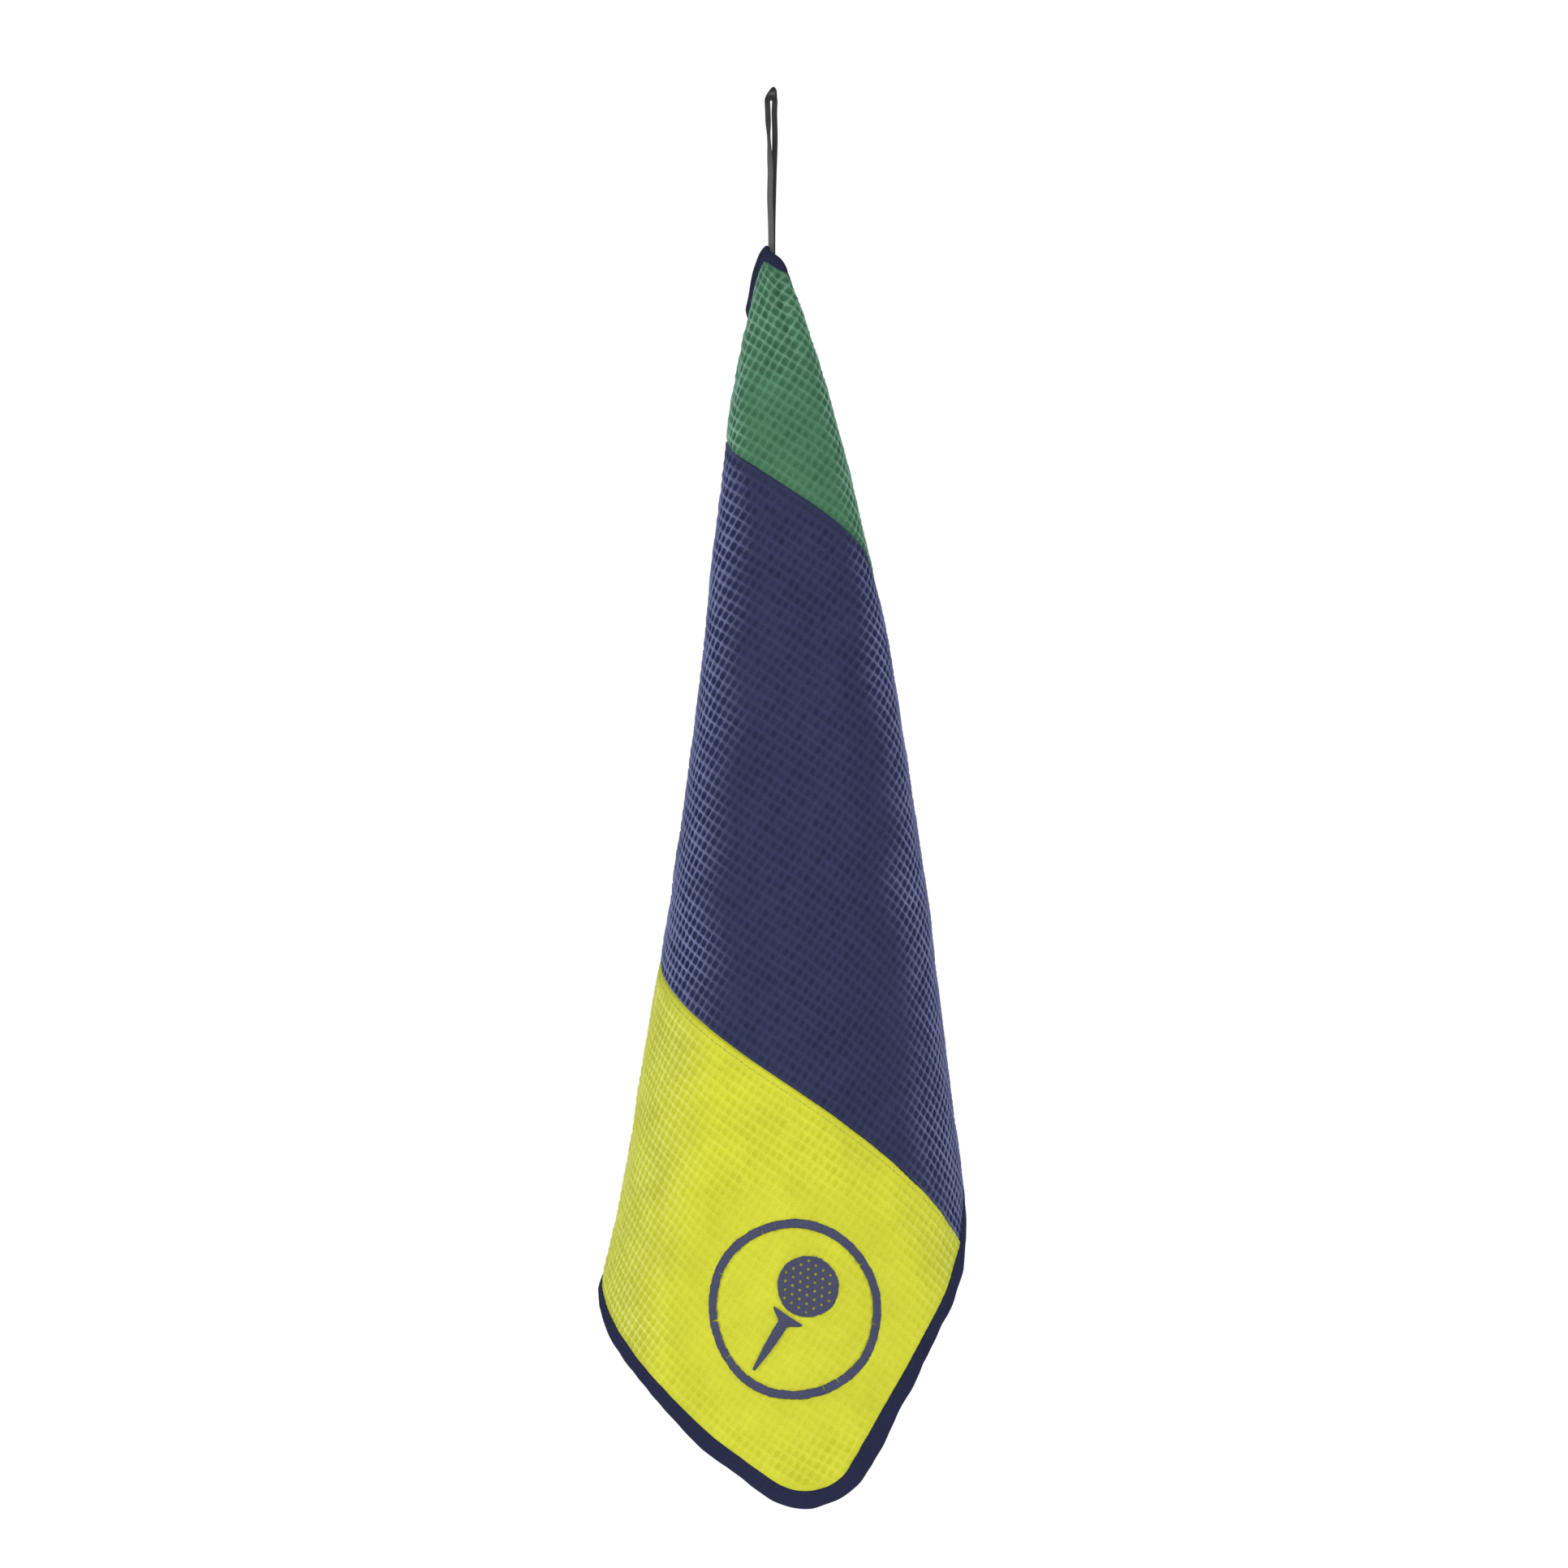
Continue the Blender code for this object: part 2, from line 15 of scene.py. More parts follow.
import bmesh
import bpy
import numpy as np
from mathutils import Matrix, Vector


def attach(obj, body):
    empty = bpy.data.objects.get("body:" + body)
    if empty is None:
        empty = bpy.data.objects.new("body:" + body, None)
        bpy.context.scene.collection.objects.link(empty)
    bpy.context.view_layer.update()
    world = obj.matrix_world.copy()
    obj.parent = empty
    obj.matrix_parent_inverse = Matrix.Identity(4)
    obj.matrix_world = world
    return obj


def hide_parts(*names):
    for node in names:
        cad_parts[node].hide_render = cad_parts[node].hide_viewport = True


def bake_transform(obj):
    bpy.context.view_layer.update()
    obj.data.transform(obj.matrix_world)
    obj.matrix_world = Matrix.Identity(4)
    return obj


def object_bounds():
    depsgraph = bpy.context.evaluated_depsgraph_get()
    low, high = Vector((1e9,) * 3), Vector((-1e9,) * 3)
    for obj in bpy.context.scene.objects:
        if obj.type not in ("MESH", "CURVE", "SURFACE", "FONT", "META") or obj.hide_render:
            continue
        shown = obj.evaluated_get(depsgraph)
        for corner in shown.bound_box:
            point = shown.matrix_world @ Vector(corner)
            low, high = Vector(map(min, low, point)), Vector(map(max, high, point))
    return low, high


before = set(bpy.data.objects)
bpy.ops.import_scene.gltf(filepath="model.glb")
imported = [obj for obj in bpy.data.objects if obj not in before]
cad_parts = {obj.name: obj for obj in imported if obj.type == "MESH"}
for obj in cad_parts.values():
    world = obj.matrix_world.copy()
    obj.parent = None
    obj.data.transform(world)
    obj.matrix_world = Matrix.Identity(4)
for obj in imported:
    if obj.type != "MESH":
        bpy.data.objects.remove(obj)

CAD_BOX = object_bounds()
LOG = logging.getLogger("towel")
FLAT_MAP = "flat"
RELIEF = "relief"
# Where the panels get painted sheen on the crests and painted shade in the pits.
LOFT_AND_SHEEN = "loft_and_sheen"
# Where the loop's tape gets painted light.
PAINTED_LIGHT = "painted_light"


class Body(Enum):
    """The two bodies of the frame."""

    LOOP = "loop"
    TOWEL = "towel"


class Side(Enum):
    """The two faces of the cloth, as the sign of a rise off its middle."""

    FACE = 1.0
    BACK = -1.0


# ------------------------------------------------------------------ noise
class SoftNoise:
    """Smooth repeatable noise between -1 and 1 on a flat plane."""

    def __init__(self, seed: int, size: int = 128) -> None:
        """Draw the lattice of values that the noise runs through.

        Args:
            seed: picks the pattern.
            size: lattice points on a side, after which the pattern repeats.
        """
        self.size = size
        self.values = np.random.default_rng(seed).uniform(-1.0, 1.0, (size, size))

    def at(self, x: np.ndarray, y: np.ndarray) -> np.ndarray:
        """Read the noise, whose lattice points are one unit apart.

        Args:
            x: places along the first axis, in lattice units.
            y: places along the second axis, in lattice units.

        Returns:
            The noise at each place.
        """
        x, y = np.broadcast_arrays(x, y)
        column, row = np.floor(x).astype(int), np.floor(y).astype(int)
        u, v = ease(x - column), ease(y - row)
        low = self.pick(row, column) * (1 - u) + self.pick(row, column + 1) * u
        high = self.pick(row + 1, column) * (1 - u) + self.pick(row + 1, column + 1) * u
        return low * (1 - v) + high * v

    def pick(self, row: np.ndarray, column: np.ndarray) -> np.ndarray:
        """Lattice values at whole-number places, repeating past the edge."""
        return self.values[row % self.size, column % self.size]


def ease(share: np.ndarray) -> np.ndarray:
    """0 below 0, 1 above 1 and a smooth rise between."""
    share = np.clip(share, 0.0, 1.0)
    return share * share * (3 - 2 * share)


def hump(distance: np.ndarray, width: float) -> np.ndarray:
    """1 at no distance, falling smoothly away over the width."""
    return np.exp(-((distance / width) ** 2))


@dataclass(frozen=True)
class Wave:
    """Soft waves of one height and size, read from a noise."""

    height: float
    wide: float
    long: float
    wide_shift: float = 0.0
    long_shift: float = 0.0

    def at(self, noise: SoftNoise, x: np.ndarray, y: np.ndarray) -> np.ndarray:
        """Height of the waves at places on the noise's plane."""
        return self.height * noise.at(x / self.wide + self.wide_shift, y / self.long + self.long_shift)


# ------------------------------------------------------------------ cloth
@dataclass(frozen=True)
class ClothCut:
    """Sizes of the towel laid flat, in metres."""

    width: float = 0.420
    length: float = 0.590
    green_length: float = 0.119
    yellow_length: float = 0.196
    corner_radius: float = 0.035
    binding_width: float = 0.009
    seam_stitch_inset: float = 0.0042
    cloth_half: float = 0.0008

    @property
    def upper_seam(self) -> float:
        """Distance along to the seam between green and navy."""
        return self.green_length

    @property
    def lower_seam(self) -> float:
        """Distance along to the seam between navy and yellow."""
        return self.length - self.yellow_length

    @property
    def length_turn(self) -> float:
        """Angle of the diagonal from the long edge."""
        return math.atan2(self.width, self.length)

    def rim_distance(self, across: np.ndarray, along: np.ndarray) -> np.ndarray:
        """Distance inwards from the rounded rim.

        Args:
            across: flat places from the long edge.
            along: flat places from the short edge.

        Returns:
            The distance, negative outside the rim.
        """
        radius = self.corner_radius
        side = np.minimum(across, self.width - across)
        end = np.minimum(along, self.length - along)
        in_corner = (side < radius) & (end < radius)
        round_off = radius - np.hypot(radius - side, radius - end)
        return np.where(in_corner, round_off, np.minimum(side, end))


class FoldTable:
    """Section lines of the hanging cloth, read by half width and arc length."""

    STEPS = 1000
    REACH = 9.0
    NARROWEST = 0.002
    WIDEST = 0.130
    ROWS = 56

    def __init__(self, line_of: Callable[[float], np.ndarray]) -> None:
        """Sample the section line at many half widths.

        Args:
            line_of: gives the section's points for one half width.
        """
        halves = np.geomspace(self.NARROWEST, self.WIDEST, self.ROWS)
        travel = np.linspace(0.0, self.REACH, self.STEPS)
        self.lines = np.stack([self.sample(line_of(half), travel * half) for half in halves])

    @staticmethod
    def sample(line: np.ndarray, travel: np.ndarray) -> np.ndarray:
        """Read a line at distances along it.

        Args:
            line: the line's points, one a row.
            travel: the distances.

        Returns:
            A point for each distance.
        """
        steps = np.hypot(*np.diff(line, axis=0).T)
        marks = np.concatenate([[0.0], np.cumsum(steps)])
        return np.stack([np.interp(travel, marks, line[:, axis]) for axis in (0, 1)], axis=-1)

    def at(self, half: np.ndarray, travel: np.ndarray) -> np.ndarray:
        """Sideways and depth places at distances along the section.

        Args:
            half: half width of the face at each point.
            travel: distance along the section from the middle of the face.

        Returns:
            An array with the sideways place and the depth last.
        """
        span = math.log(self.WIDEST / self.NARROWEST)
        row = np.log(half / self.NARROWEST) / span * (self.ROWS - 1)
        column = travel / half / self.REACH * (self.STEPS - 1)
        row = np.clip(row, 0, self.ROWS - 1.001)
        column = np.clip(column, 0, self.STEPS - 1.001)
        i, j = row.astype(int), column.astype(int)
        u, v = (row - i)[..., None], (column - j)[..., None]
        near = self.lines[i, j] * (1 - v) + self.lines[i, j + 1] * v
        far = self.lines[i + 1, j] * (1 - v) + self.lines[i + 1, j + 1] * v
        return near * (1 - u) + far * u


@dataclass(frozen=True)
class Crease:
    """The groove that runs down from the hung corner between two soft ridges."""

    depth: float = 0.0021
    turn: float = 0.78
    curl: float = 0.205
    curl_start: float = 0.0355
    curl_lead: float = 0.010
    curl_fade: float = 0.014
    groove_width: float = 0.0026
    ridge_share: float = 0.5
    ridge_away: float = 0.0055
    ridge_width: float = 0.0025
    start: float = 0.022
    start_span: float = 0.010
    end: float = 0.055
    end_span: float = 0.045

    def at(self, reach: np.ndarray, turn: np.ndarray) -> np.ndarray:
        """Depth of the groove.

        Args:
            reach: distance from the hung corner.
            turn: angle from the long edge.

        Returns:
            The depth, negative on the ridges.
        """
        below = np.maximum(reach - self.curl_start, -self.curl_lead)
        away = reach * (turn - (self.turn + self.curl * np.exp(-below / self.curl_fade)))
        ridges = hump(np.abs(away) - self.ridge_away, self.ridge_width)
        groove = hump(away, self.groove_width) - self.ridge_share * ridges
        begun = ease((reach - self.start) / self.start_span)
        return self.depth * groove * begun * (1 - ease((reach - self.end) / self.end_span))


@dataclass
class HangingForm:
    """The drape: a cone from the hung corner with both sides folded behind."""

    cut: ClothCut
    corner_drop: float = 0.0664
    side_start: float = 0.0137
    side_growth: float = 0.1495
    gather_length: float = 0.040
    drift: float = 0.0168
    drift_start: float = 0.040
    drift_span: float = 0.668
    centre_turn: float = -0.0373
    top_turn: float = 1.5
    top_turn_fade: float = 0.022
    front_bulge: float = 0.76
    front_squareness: float = 2.9
    front_round_start: float = 0.045
    front_round_span: float = 0.045
    front_round_bulge: float = 0.90
    front_round_squareness: float = 2.06
    depth_balance: float = 0.205
    set_back: float = -0.00025
    lift: float = 0.0446
    lift_start: float = 0.035
    lift_span: float = 0.30
    least_drop: float = 0.3
    left_tuck: float = 0.07
    left_tuck_start: float = 0.40
    left_tuck_span: float = 0.20
    right_tuck: float = 0.05
    right_tuck_reach: float = 0.42
    right_tuck_span: float = 0.13
    right_pinch: float = 0.22
    right_pinch_start: float = 0.020
    right_pinch_fade: float = 0.022
    # Where the waffle stands up and gets painted sheen and shade; it starts sooner on the left side, which
    # gets more painted sheen.
    sheen_loft_start_left: float = 0.50
    sheen_loft_start_right: float = 0.66
    sheen_loft_span: float = 0.55
    top_sheen_loft: float = 0.42
    top_sheen_loft_end: float = 0.055
    top_sheen_loft_span: float = 0.060
    hood_squeeze: float = 0.95
    hood_squeeze_start: float = 0.016
    hood_squeeze_fade: float = 0.025
    hood_fold: float = 1.48
    hood_lean: float = 0.20
    hood_upright: float = 0.7
    hood_upright_start: float = 0.030
    hood_upright_span: float = 0.030
    hood_length: float = 0.052
    hood_end: float = 0.016
    corner_start: float = 0.650
    corner_span: float = 0.050
    corner_spread: float = 0.08
    corner_middle: float = 0.015
    corner_shift: float = 0.0018
    corner_lift: float = 0.0022
    fold_corner: float = 0.35
    inner_depth: float = 0.22
    inner_lean: float = math.radians(9)
    inner_turn_start: float = 0.62
    inner_turn_bulge: float = 0.14
    inner_turn_depth: float = 0.26
    outer_depth: float = 0.40
    return_depth: float = 0.70
    return_start: float = 0.66
    return_bulge: float = 0.15
    layer_room: float = 0.002
    nudge: float = 0.0012
    turn_points: int = 41
    front_points: int = 121
    wave: Wave = Wave(0.0008, 0.050, 0.062)
    small_wave: Wave = Wave(0.0004, 0.021, 0.026, 7, 3)
    # Makes uneven where the waffle stands up and where its painted sheen and shade begin.
    sheen_loft_wave: Wave = Wave(0.09, 0.030, 0.030, 50)
    pleat_height: float = 0.0011
    pleat_turns: float = 9.0
    pleat_length: float = 0.16
    pleat_shift: float = 11
    pleat_reach: float = 0.10
    pleat_span: float = 0.085
    edge_pucker: Wave = Wave(0.0006, 0.013, 0.030)
    edge_pucker_span: float = 0.012
    seam_pucker: Wave = Wave(0.00035, 0.009, 0.050, 0, 5)
    seam_pucker_span: float = 0.012
    ripple_start: float = 0.012
    ripple_span: float = 0.05
    crease: Crease = Crease()
    ripple_noise: SoftNoise = field(default_factory=lambda: SoftNoise(5))
    pucker_noise: SoftNoise = field(default_factory=lambda: SoftNoise(17))

    def __post_init__(self) -> None:
        """Make the section tables of both sides."""
        self.outer = FoldTable(self.outer_line)
        self.inner = FoldTable(self.inner_line)

    def quarter_turn(self, start: tuple, end: tuple, flat_first: bool) -> list:
        """Points of a quarter ellipse between two points of a section.

        Args:
            start: where the turn begins.
            end: where it ends.
            flat_first: whether it leaves the start sideways.

        Returns:
            The points after the start.
        """
        angle = np.linspace(0.0, math.pi / 2, self.turn_points)[1:]
        quick, slow = np.sin(angle), 1.0 - np.cos(angle)
        side, depth = (quick, slow) if flat_first else (slow, quick)
        x = start[0] + (end[0] - start[0]) * side
        y = start[1] + (end[1] - start[1]) * depth
        return list(zip(x, y))

    def front_turn(self, half: float, side: Side) -> list:
        """Points of the face from its middle to one side: nearly flat, then a firm turn.

        Args:
            half: half width of the face.
            side: FACE for the right side and BACK for the left one.

        Returns:
            The points, from the middle on.
        """
        angle = np.linspace(0.0, math.pi / 2, self.front_points)
        rounder = float(ease((half - self.front_round_start) / self.front_round_span))
        bulge = self.front_bulge + rounder * (self.front_round_bulge - self.front_bulge)
        power = self.front_squareness + rounder * (self.front_round_squareness - self.front_squareness)
        x = side.value * half * np.sin(angle) ** (2.0 / power)
        y = -bulge * half * np.maximum(np.cos(angle), 0.0) ** (2.0 / power)
        y[-1] = 0.0
        return list(zip(x, y))

    def outer_line(self, half: float) -> np.ndarray:
        """Section from the middle of the face round the right side and back.

        Args:
            half: half width of the face.

        Returns:
            The section's points, sideways place and depth a row.
        """
        depth = self.outer_depth * half + self.layer_room
        back = self.return_depth * half + 2 * self.layer_room
        start_x = -self.return_start * half
        turn = start_x - self.return_bulge * half
        line = self.front_turn(half, Side.FACE)
        line += self.quarter_turn(line[-1], ((1 - self.fold_corner) * half, depth), False)
        line.append((start_x, depth))
        line += self.quarter_turn(line[-1], (turn, (depth + back) / 2), True)
        line += self.quarter_turn(line[-1], (start_x, back), False)
        line.append((4 * half, back))
        return np.array(line)

    def inner_line(self, half: float) -> np.ndarray:
        """Section from the middle of the face round the left side and back.

        Args:
            half: half width of the face.

        Returns:
            The section's points, sideways place and depth a row.
        """
        depth = self.inner_depth * half
        start_x = self.inner_turn_start * half
        line = self.front_turn(half, Side.BACK)
        line += self.quarter_turn(line[-1], ((self.fold_corner - 1) * half, depth), False)
        near = depth - (start_x - line[-1][0]) * math.tan(self.inner_lean)
        far = near - self.inner_turn_depth * half
        line.append((start_x, near))
        bulge = start_x + self.inner_turn_bulge * half
        line += self.quarter_turn(line[-1], (bulge, (near + far) / 2), True)
        line += self.quarter_turn(line[-1], (start_x, far), False)
        line.append((-start_x, far))
        return np.array(line)

    def round_face(self, across: np.ndarray, along: np.ndarray) -> tuple:
        """Where flat points lie round the hanging cloth.

        Args:
            across: flat places from the long edge.
            along: flat places from the short edge.

        Returns:
            Distance from the hung corner, turn from the diagonal, half width of the
            face, sideways drift and distance round from the middle of the face.
        """
        reach = np.maximum(np.hypot(across, along), 1e-5)
        turn = np.arctan2(across, along) - self.cut.length_turn
        half = self.side_start + self.side_growth * reach
        half = half * (1.0 - np.exp(-reach / self.gather_length))
        drift = self.drift * np.sin(math.pi * (reach - self.drift_start) / self.drift_span)
        twist = self.top_turn * np.exp(-reach / self.top_turn_fade)
        travel = reach * (turn - drift / reach - self.centre_turn - twist)
        return reach, turn, half, drift, travel

    def loft_and_sheen(self, across: np.ndarray, along: np.ndarray) -> np.ndarray:
        """How freely the cloth hangs and its waffle stands up, which also sets where the panels get painted
        sheen on the crests and painted shade in the pits.

        Args:
            across: flat places from the long edge.
            along: flat places from the short edge.

        Returns:
            0 on the taut face, rising to 1 at its sides and behind.
        """
        reach, _, half, _, travel = self.round_face(across, along)
        uneven = self.sheen_loft_wave.at(self.ripple_noise, across, along)
        start = np.where(travel > 0, self.sheen_loft_start_right, self.sheen_loft_start_left)
        sides = ease((np.abs(travel) / half - start + uneven) / self.sheen_loft_span)
        past_top = ease((reach - self.top_sheen_loft_end) / self.top_sheen_loft_span)
        return np.maximum(sides, self.top_sheen_loft * (1 - past_top))

    def middle(self, across: np.ndarray, along: np.ndarray) -> np.ndarray:
        """Places of the middle of the cloth, before ripples.

        Args:
            across: flat places from the long edge.
            along: flat places from the short edge.

        Returns:
            An array with the point last.
        """
        reach, turn, half, drift, travel = self.round_face(across, along)
        right = self.outer.at(half, np.maximum(travel, 0.0))
        left = self.inner.at(half, np.maximum(-travel, 0.0))
        left = self.open_hood(left, half, reach, -travel)
        left[..., 0] *= 1 - self.left_tuck * ease((reach - self.left_tuck_start) / self.left_tuck_span)
        right[..., 0] *= 1 - self.right_tuck * hump(reach - self.right_tuck_reach, self.right_tuck_span)
        past_pinch = np.maximum(reach - self.right_pinch_start, 0.0)
        right[..., 0] *= 1 - self.right_pinch * np.exp(-past_pinch / self.right_pinch_fade)
        section = np.where((travel > 0)[..., None], right, left)
        x = section[..., 0] + drift
        low = ease((reach - self.corner_start) / self.corner_span)
        x = x + low * (self.corner_spread * (x - self.corner_middle) + self.corner_shift)
        y = section[..., 1] + self.depth_balance * half
        down = np.sqrt(np.maximum(reach**2 - x**2 - y**2, (self.least_drop * reach) ** 2))
        rise = self.lift * ease((-turn - self.lift_start) / self.lift_span)
        rise = rise * (reach / self.cut.length) ** 2 + self.corner_lift * low
        return np.stack([x, y + self.set_back, -self.corner_drop - down * (1 - rise)], axis=-1)

    def open_hood(self, left: np.ndarray, half: np.ndarray, reach: np.ndarray,
                  travel: np.ndarray) -> np.ndarray:
        """Swing the left flap out at the hung corner, so that it stands open like a hood.

        Args:
            left: sideways places and depths on the left side.
            half: half width of the face.
            reach: distance from the hung corner.
            travel: distance round the left side from the middle of the face.

        Returns:
            The places with the hood opened.
        """
        past_squeeze = np.maximum(reach - self.hood_squeeze_start, 0.0)
        squeeze = 1 - self.hood_squeeze * np.exp(-past_squeeze / self.hood_squeeze_fade)
        past = np.maximum(travel - self.hood_fold * half, 0.0)
        upright = self.hood_upright * ease((reach - self.hood_upright_start) / self.hood_upright_span)
        lean = self.hood_lean * (1 - upright)
        open_x = -squeeze * half - lean * past
        open_y = np.sqrt(1 - lean**2) * past
        share = np.where(past > 0, 1 - ease((reach - self.hood_length) / self.hood_end), 0.0)
        x = left[..., 0] * squeeze * (1 - share) + open_x * share
        y = left[..., 1] * (1 - share) + open_y * share
        return np.stack([x, y], axis=-1)

    def ripple(self, across: np.ndarray, along: np.ndarray) -> np.ndarray:
        """How far soft waves and puckers lift the cloth off its plain drape.

        Args:
            across: flat places from the long edge.
            along: flat places from the short edge.

        Returns:
            The lift at each place, in metres.
        """
        reach = np.hypot(across, along)
        turn = np.arctan2(across, along)
        wave = self.wave.at(self.ripple_noise, across, along)
        wave += self.small_wave.at(self.ripple_noise, across, along)
        fall = reach / self.pleat_length + self.pleat_shift
        pleats = self.pleat_height * self.ripple_noise.at(turn * self.pleat_turns, fall)
        wave += pleats * hump(reach - self.pleat_reach, self.pleat_span)
        edge = np.maximum(self.cut.rim_distance(across, along), 0.0)
        pucker = self.edge_pucker.at(self.pucker_noise, across - along, across + along)
        wave += pucker * np.exp(-edge / self.edge_pucker_span)
        for seam in (self.cut.upper_seam, self.cut.lower_seam):
            pull = self.seam_pucker.at(self.pucker_noise, across, along)
            wave += pull * hump(along - seam, self.seam_pucker_span)
        wave *= ease((reach - self.ripple_start) / self.ripple_span)
        return wave - self.crease.at(reach, turn)

    def place(self, across: np.ndarray, along: np.ndarray, rise: np.ndarray) -> np.ndarray:
        """Hanging places of flat points raised off the middle of the cloth.

        Args:
            across: flat places from the long edge.
            along: flat places from the short edge.
            rise: height off the middle of the cloth, positive on its face.

        Returns:
            An array with the point last.
        """
        across, along, rise = np.broadcast_arrays(across, along, rise)
        normal = self.normal(across, along)
        lifted = rise + self.ripple(across, along)
        return self.middle(across, along) + lifted[..., None] * normal

    def normal(self, across: np.ndarray, along: np.ndarray) -> np.ndarray:
        """Directions straight out of the cloth's face.

        Args:
            across: flat places from the long edge.
            along: flat places from the short edge.

        Returns:
            An array with the unit direction last.
        """
        step = self.nudge
        one = self.middle(across + step, along) - self.middle(across - step, along)
        two = self.middle(across, along + step) - self.middle(across, along - step)
        normal = np.cross(two, one)
        return normal / np.linalg.norm(normal, axis=-1, keepdims=True)


@dataclass
class WaffleWeave:
    """The waffle cloth's net of ribs and pits."""

    cut: ClothCut
    rib_across: float = 0.0042
    rib_along: float = 0.0057
    depth: float = 0.00185
    allowance: float = 0.0070
    allowance_edge: float = 0.001
    press_across: float = 0.341
    press_along: float = 0.497
    press_radius: float = 0.060
    sway: Wave = Wave(0.10, 0.013, 0.017)
    lean: Wave = Wave(0.10, 0.015, 0.012, 31, 9)
    pit_power: float = 0.62
    pit_share: float = 0.84
    pit_spread: float = 0.16
    sewn_share: float = 0.25
    sewn_span: float = 0.006
    allowance_press: float = 0.62
    seam_press: float = 0.5
    seam_press_width: float = 0.0016
    pressed_share: float = 0.42
    press_span: float = 0.022
    taut_share: float = 0.75
    seam_dip: float = 0.0011
    seam_dip_width: float = 0.0009
    allowance_lift: float = 0.0003
    allowance_lift_start: float = 0.0012
    allowance_lift_end: float = 0.0062
    allowance_lift_fade: float = 0.0016
    stitch_dip: float = 0.0002
    stitch_dip_width: float = 0.0007
    wobble_noise: SoftNoise = field(default_factory=lambda: SoftNoise(29))
    pit_noise: SoftNoise = field(default_factory=lambda: SoftNoise(41))

    def relief(self, across: np.ndarray, along: np.ndarray) -> np.ndarray:
        """Height of the ribs from 0 in a pit to 1 on a crest.

        Args:
            across: flat places from the long edge.
            along: flat places from the short edge.

        Returns:
            The relief at each place.
        """
        u = across / self.rib_across + self.sway.at(self.wobble_noise, across, along)
        v = along / self.rib_along + self.lean.at(self.wobble_noise, across, along)
        pit = (np.abs(np.sin(math.pi * u)) * np.abs(np.sin(math.pi * v))) ** self.pit_power
        cell = self.pit_noise.at(np.floor(u), np.floor(v))
        return 1.0 - pit * (self.pit_share + self.pit_spread * cell)

    def firmness(self, across: np.ndarray, along: np.ndarray) -> np.ndarray:
        """How much of the relief is left where cloth is sewn down or pressed.

        Args:
            across: flat places from the long edge.
            along: flat places from the short edge.

        Returns:
            1 on free cloth, falling towards seams, binding and emblem.
        """
        edge = self.cut.rim_distance(across, along) - self.cut.binding_width
        left = self.sewn_share + (1 - self.sewn_share) * ease(edge / self.sewn_span)
        for seam in (self.cut.upper_seam, self.cut.lower_seam):
            past = along - seam
            ended = ease((past - self.allowance + self.allowance_edge) / (2 * self.allowance_edge))
            band = ease(past / self.allowance_edge) * (1 - ended)
            left = left * (1 - self.allowance_press * band)
            left = left * (1 - self.seam_press * hump(past, self.seam_press_width))
        away = np.hypot(across - self.press_across, along - self.press_along)
        past = ease((away - self.press_radius) / self.press_span)
        return left * (self.pressed_share + (1 - self.pressed_share) * past)

    def rise(self, across: np.ndarray, along: np.ndarray, loft_and_sheen: np.ndarray) -> tuple:
        """Height of the cloth's face off the middle of the cloth.

        Args:
            across: flat places from the long edge.
            along: flat places from the short edge.
            loft_and_sheen: how freely the cloth hangs, from 0 to 1.

        Returns:
            The height in metres and the relief from 0 to 1.
        """
        kept = self.firmness(across, along)
        relief = 0.5 + (self.relief(across, along) - 0.5) * kept
        depth = self.depth * (self.taut_share + (1 - self.taut_share) * loft_and_sheen)
        height = self.cut.cloth_half + depth * (relief - 0.5)
        for seam in (self.cut.upper_seam, self.cut.lower_seam):
            past = along - seam
            height = height - self.seam_dip * hump(past, self.seam_dip_width)
            ended = ease((past - self.allowance_lift_end) / self.allowance_lift_fade)
            height = height + self.allowance_lift * ease(past / self.allowance_lift_start) * (1 - ended)
            height = height - self.stitch_dip * hump(past - self.cut.seam_stitch_inset, self.stitch_dip_width)
        return height, relief


# ------------------------------------------------------------------ meshes
def grid_mesh(name: str, points: np.ndarray, flat: np.ndarray, ring: bool = False) -> bpy.types.Mesh:
    """A mesh of quads through a grid of points.

    Args:
        name: the mesh's name.
        points: rows by columns by 3.
        flat: rows by columns by 2, the flat place of each point.
        ring: whether the last row joins the first.

    Returns:
        The mesh, with its flat map.
    """
    rows, columns = points.shape[:2]
    index = np.arange(rows * columns).reshape(rows, columns)
    if ring:
        index = np.concatenate([index, index[:1]])
    corners = [index[:-1, :-1], index[1:, :-1], index[1:, 1:], index[:-1, 1:]]
    quads = np.stack(corners, axis=-1).reshape(-1, 4)
    return quad_mesh(name, points.reshape(-1, 3), quads, flat.reshape(-1, 2))


def quad_mesh(name: str, points: np.ndarray, quads: np.ndarray, flat: np.ndarray) -> bpy.types.Mesh:
    """A smooth mesh from points and quads.

    Args:
        name: the mesh's name.
        points: the points, one a row.
        quads: four point numbers a row.
        flat: the flat place of each point.

    Returns:
        The mesh, with its flat map.
    """
    mesh = bpy.data.meshes.new(name)
    mesh.vertices.add(len(points))
    mesh.vertices.foreach_set("co", points.astype(np.float32).ravel())
    mesh.loops.add(quads.size)
    mesh.loops.foreach_set("vertex_index", quads.astype(np.int32).ravel())
    mesh.polygons.add(len(quads))
    mesh.polygons.foreach_set("loop_start", np.arange(0, quads.size, 4, dtype=np.int32))
    mesh.update(calc_edges=True)
    mesh.validate()
    layer = mesh.uv_layers.new(name=FLAT_MAP)
    corner = np.zeros(len(mesh.loops), np.int32)
    mesh.loops.foreach_get("vertex_index", corner)
    layer.data.foreach_set("uv", flat[corner].astype(np.float32).ravel())
    mesh.shade_smooth()
    return mesh


def set_values(mesh: bpy.types.Mesh, name: str, values: np.ndarray) -> None:
    """Keep one value for each point on the mesh, for its finish to read."""
    layer = mesh.attributes.new(name, "FLOAT", "POINT")
    layer.data.foreach_set("value", values.astype(np.float32).ravel())


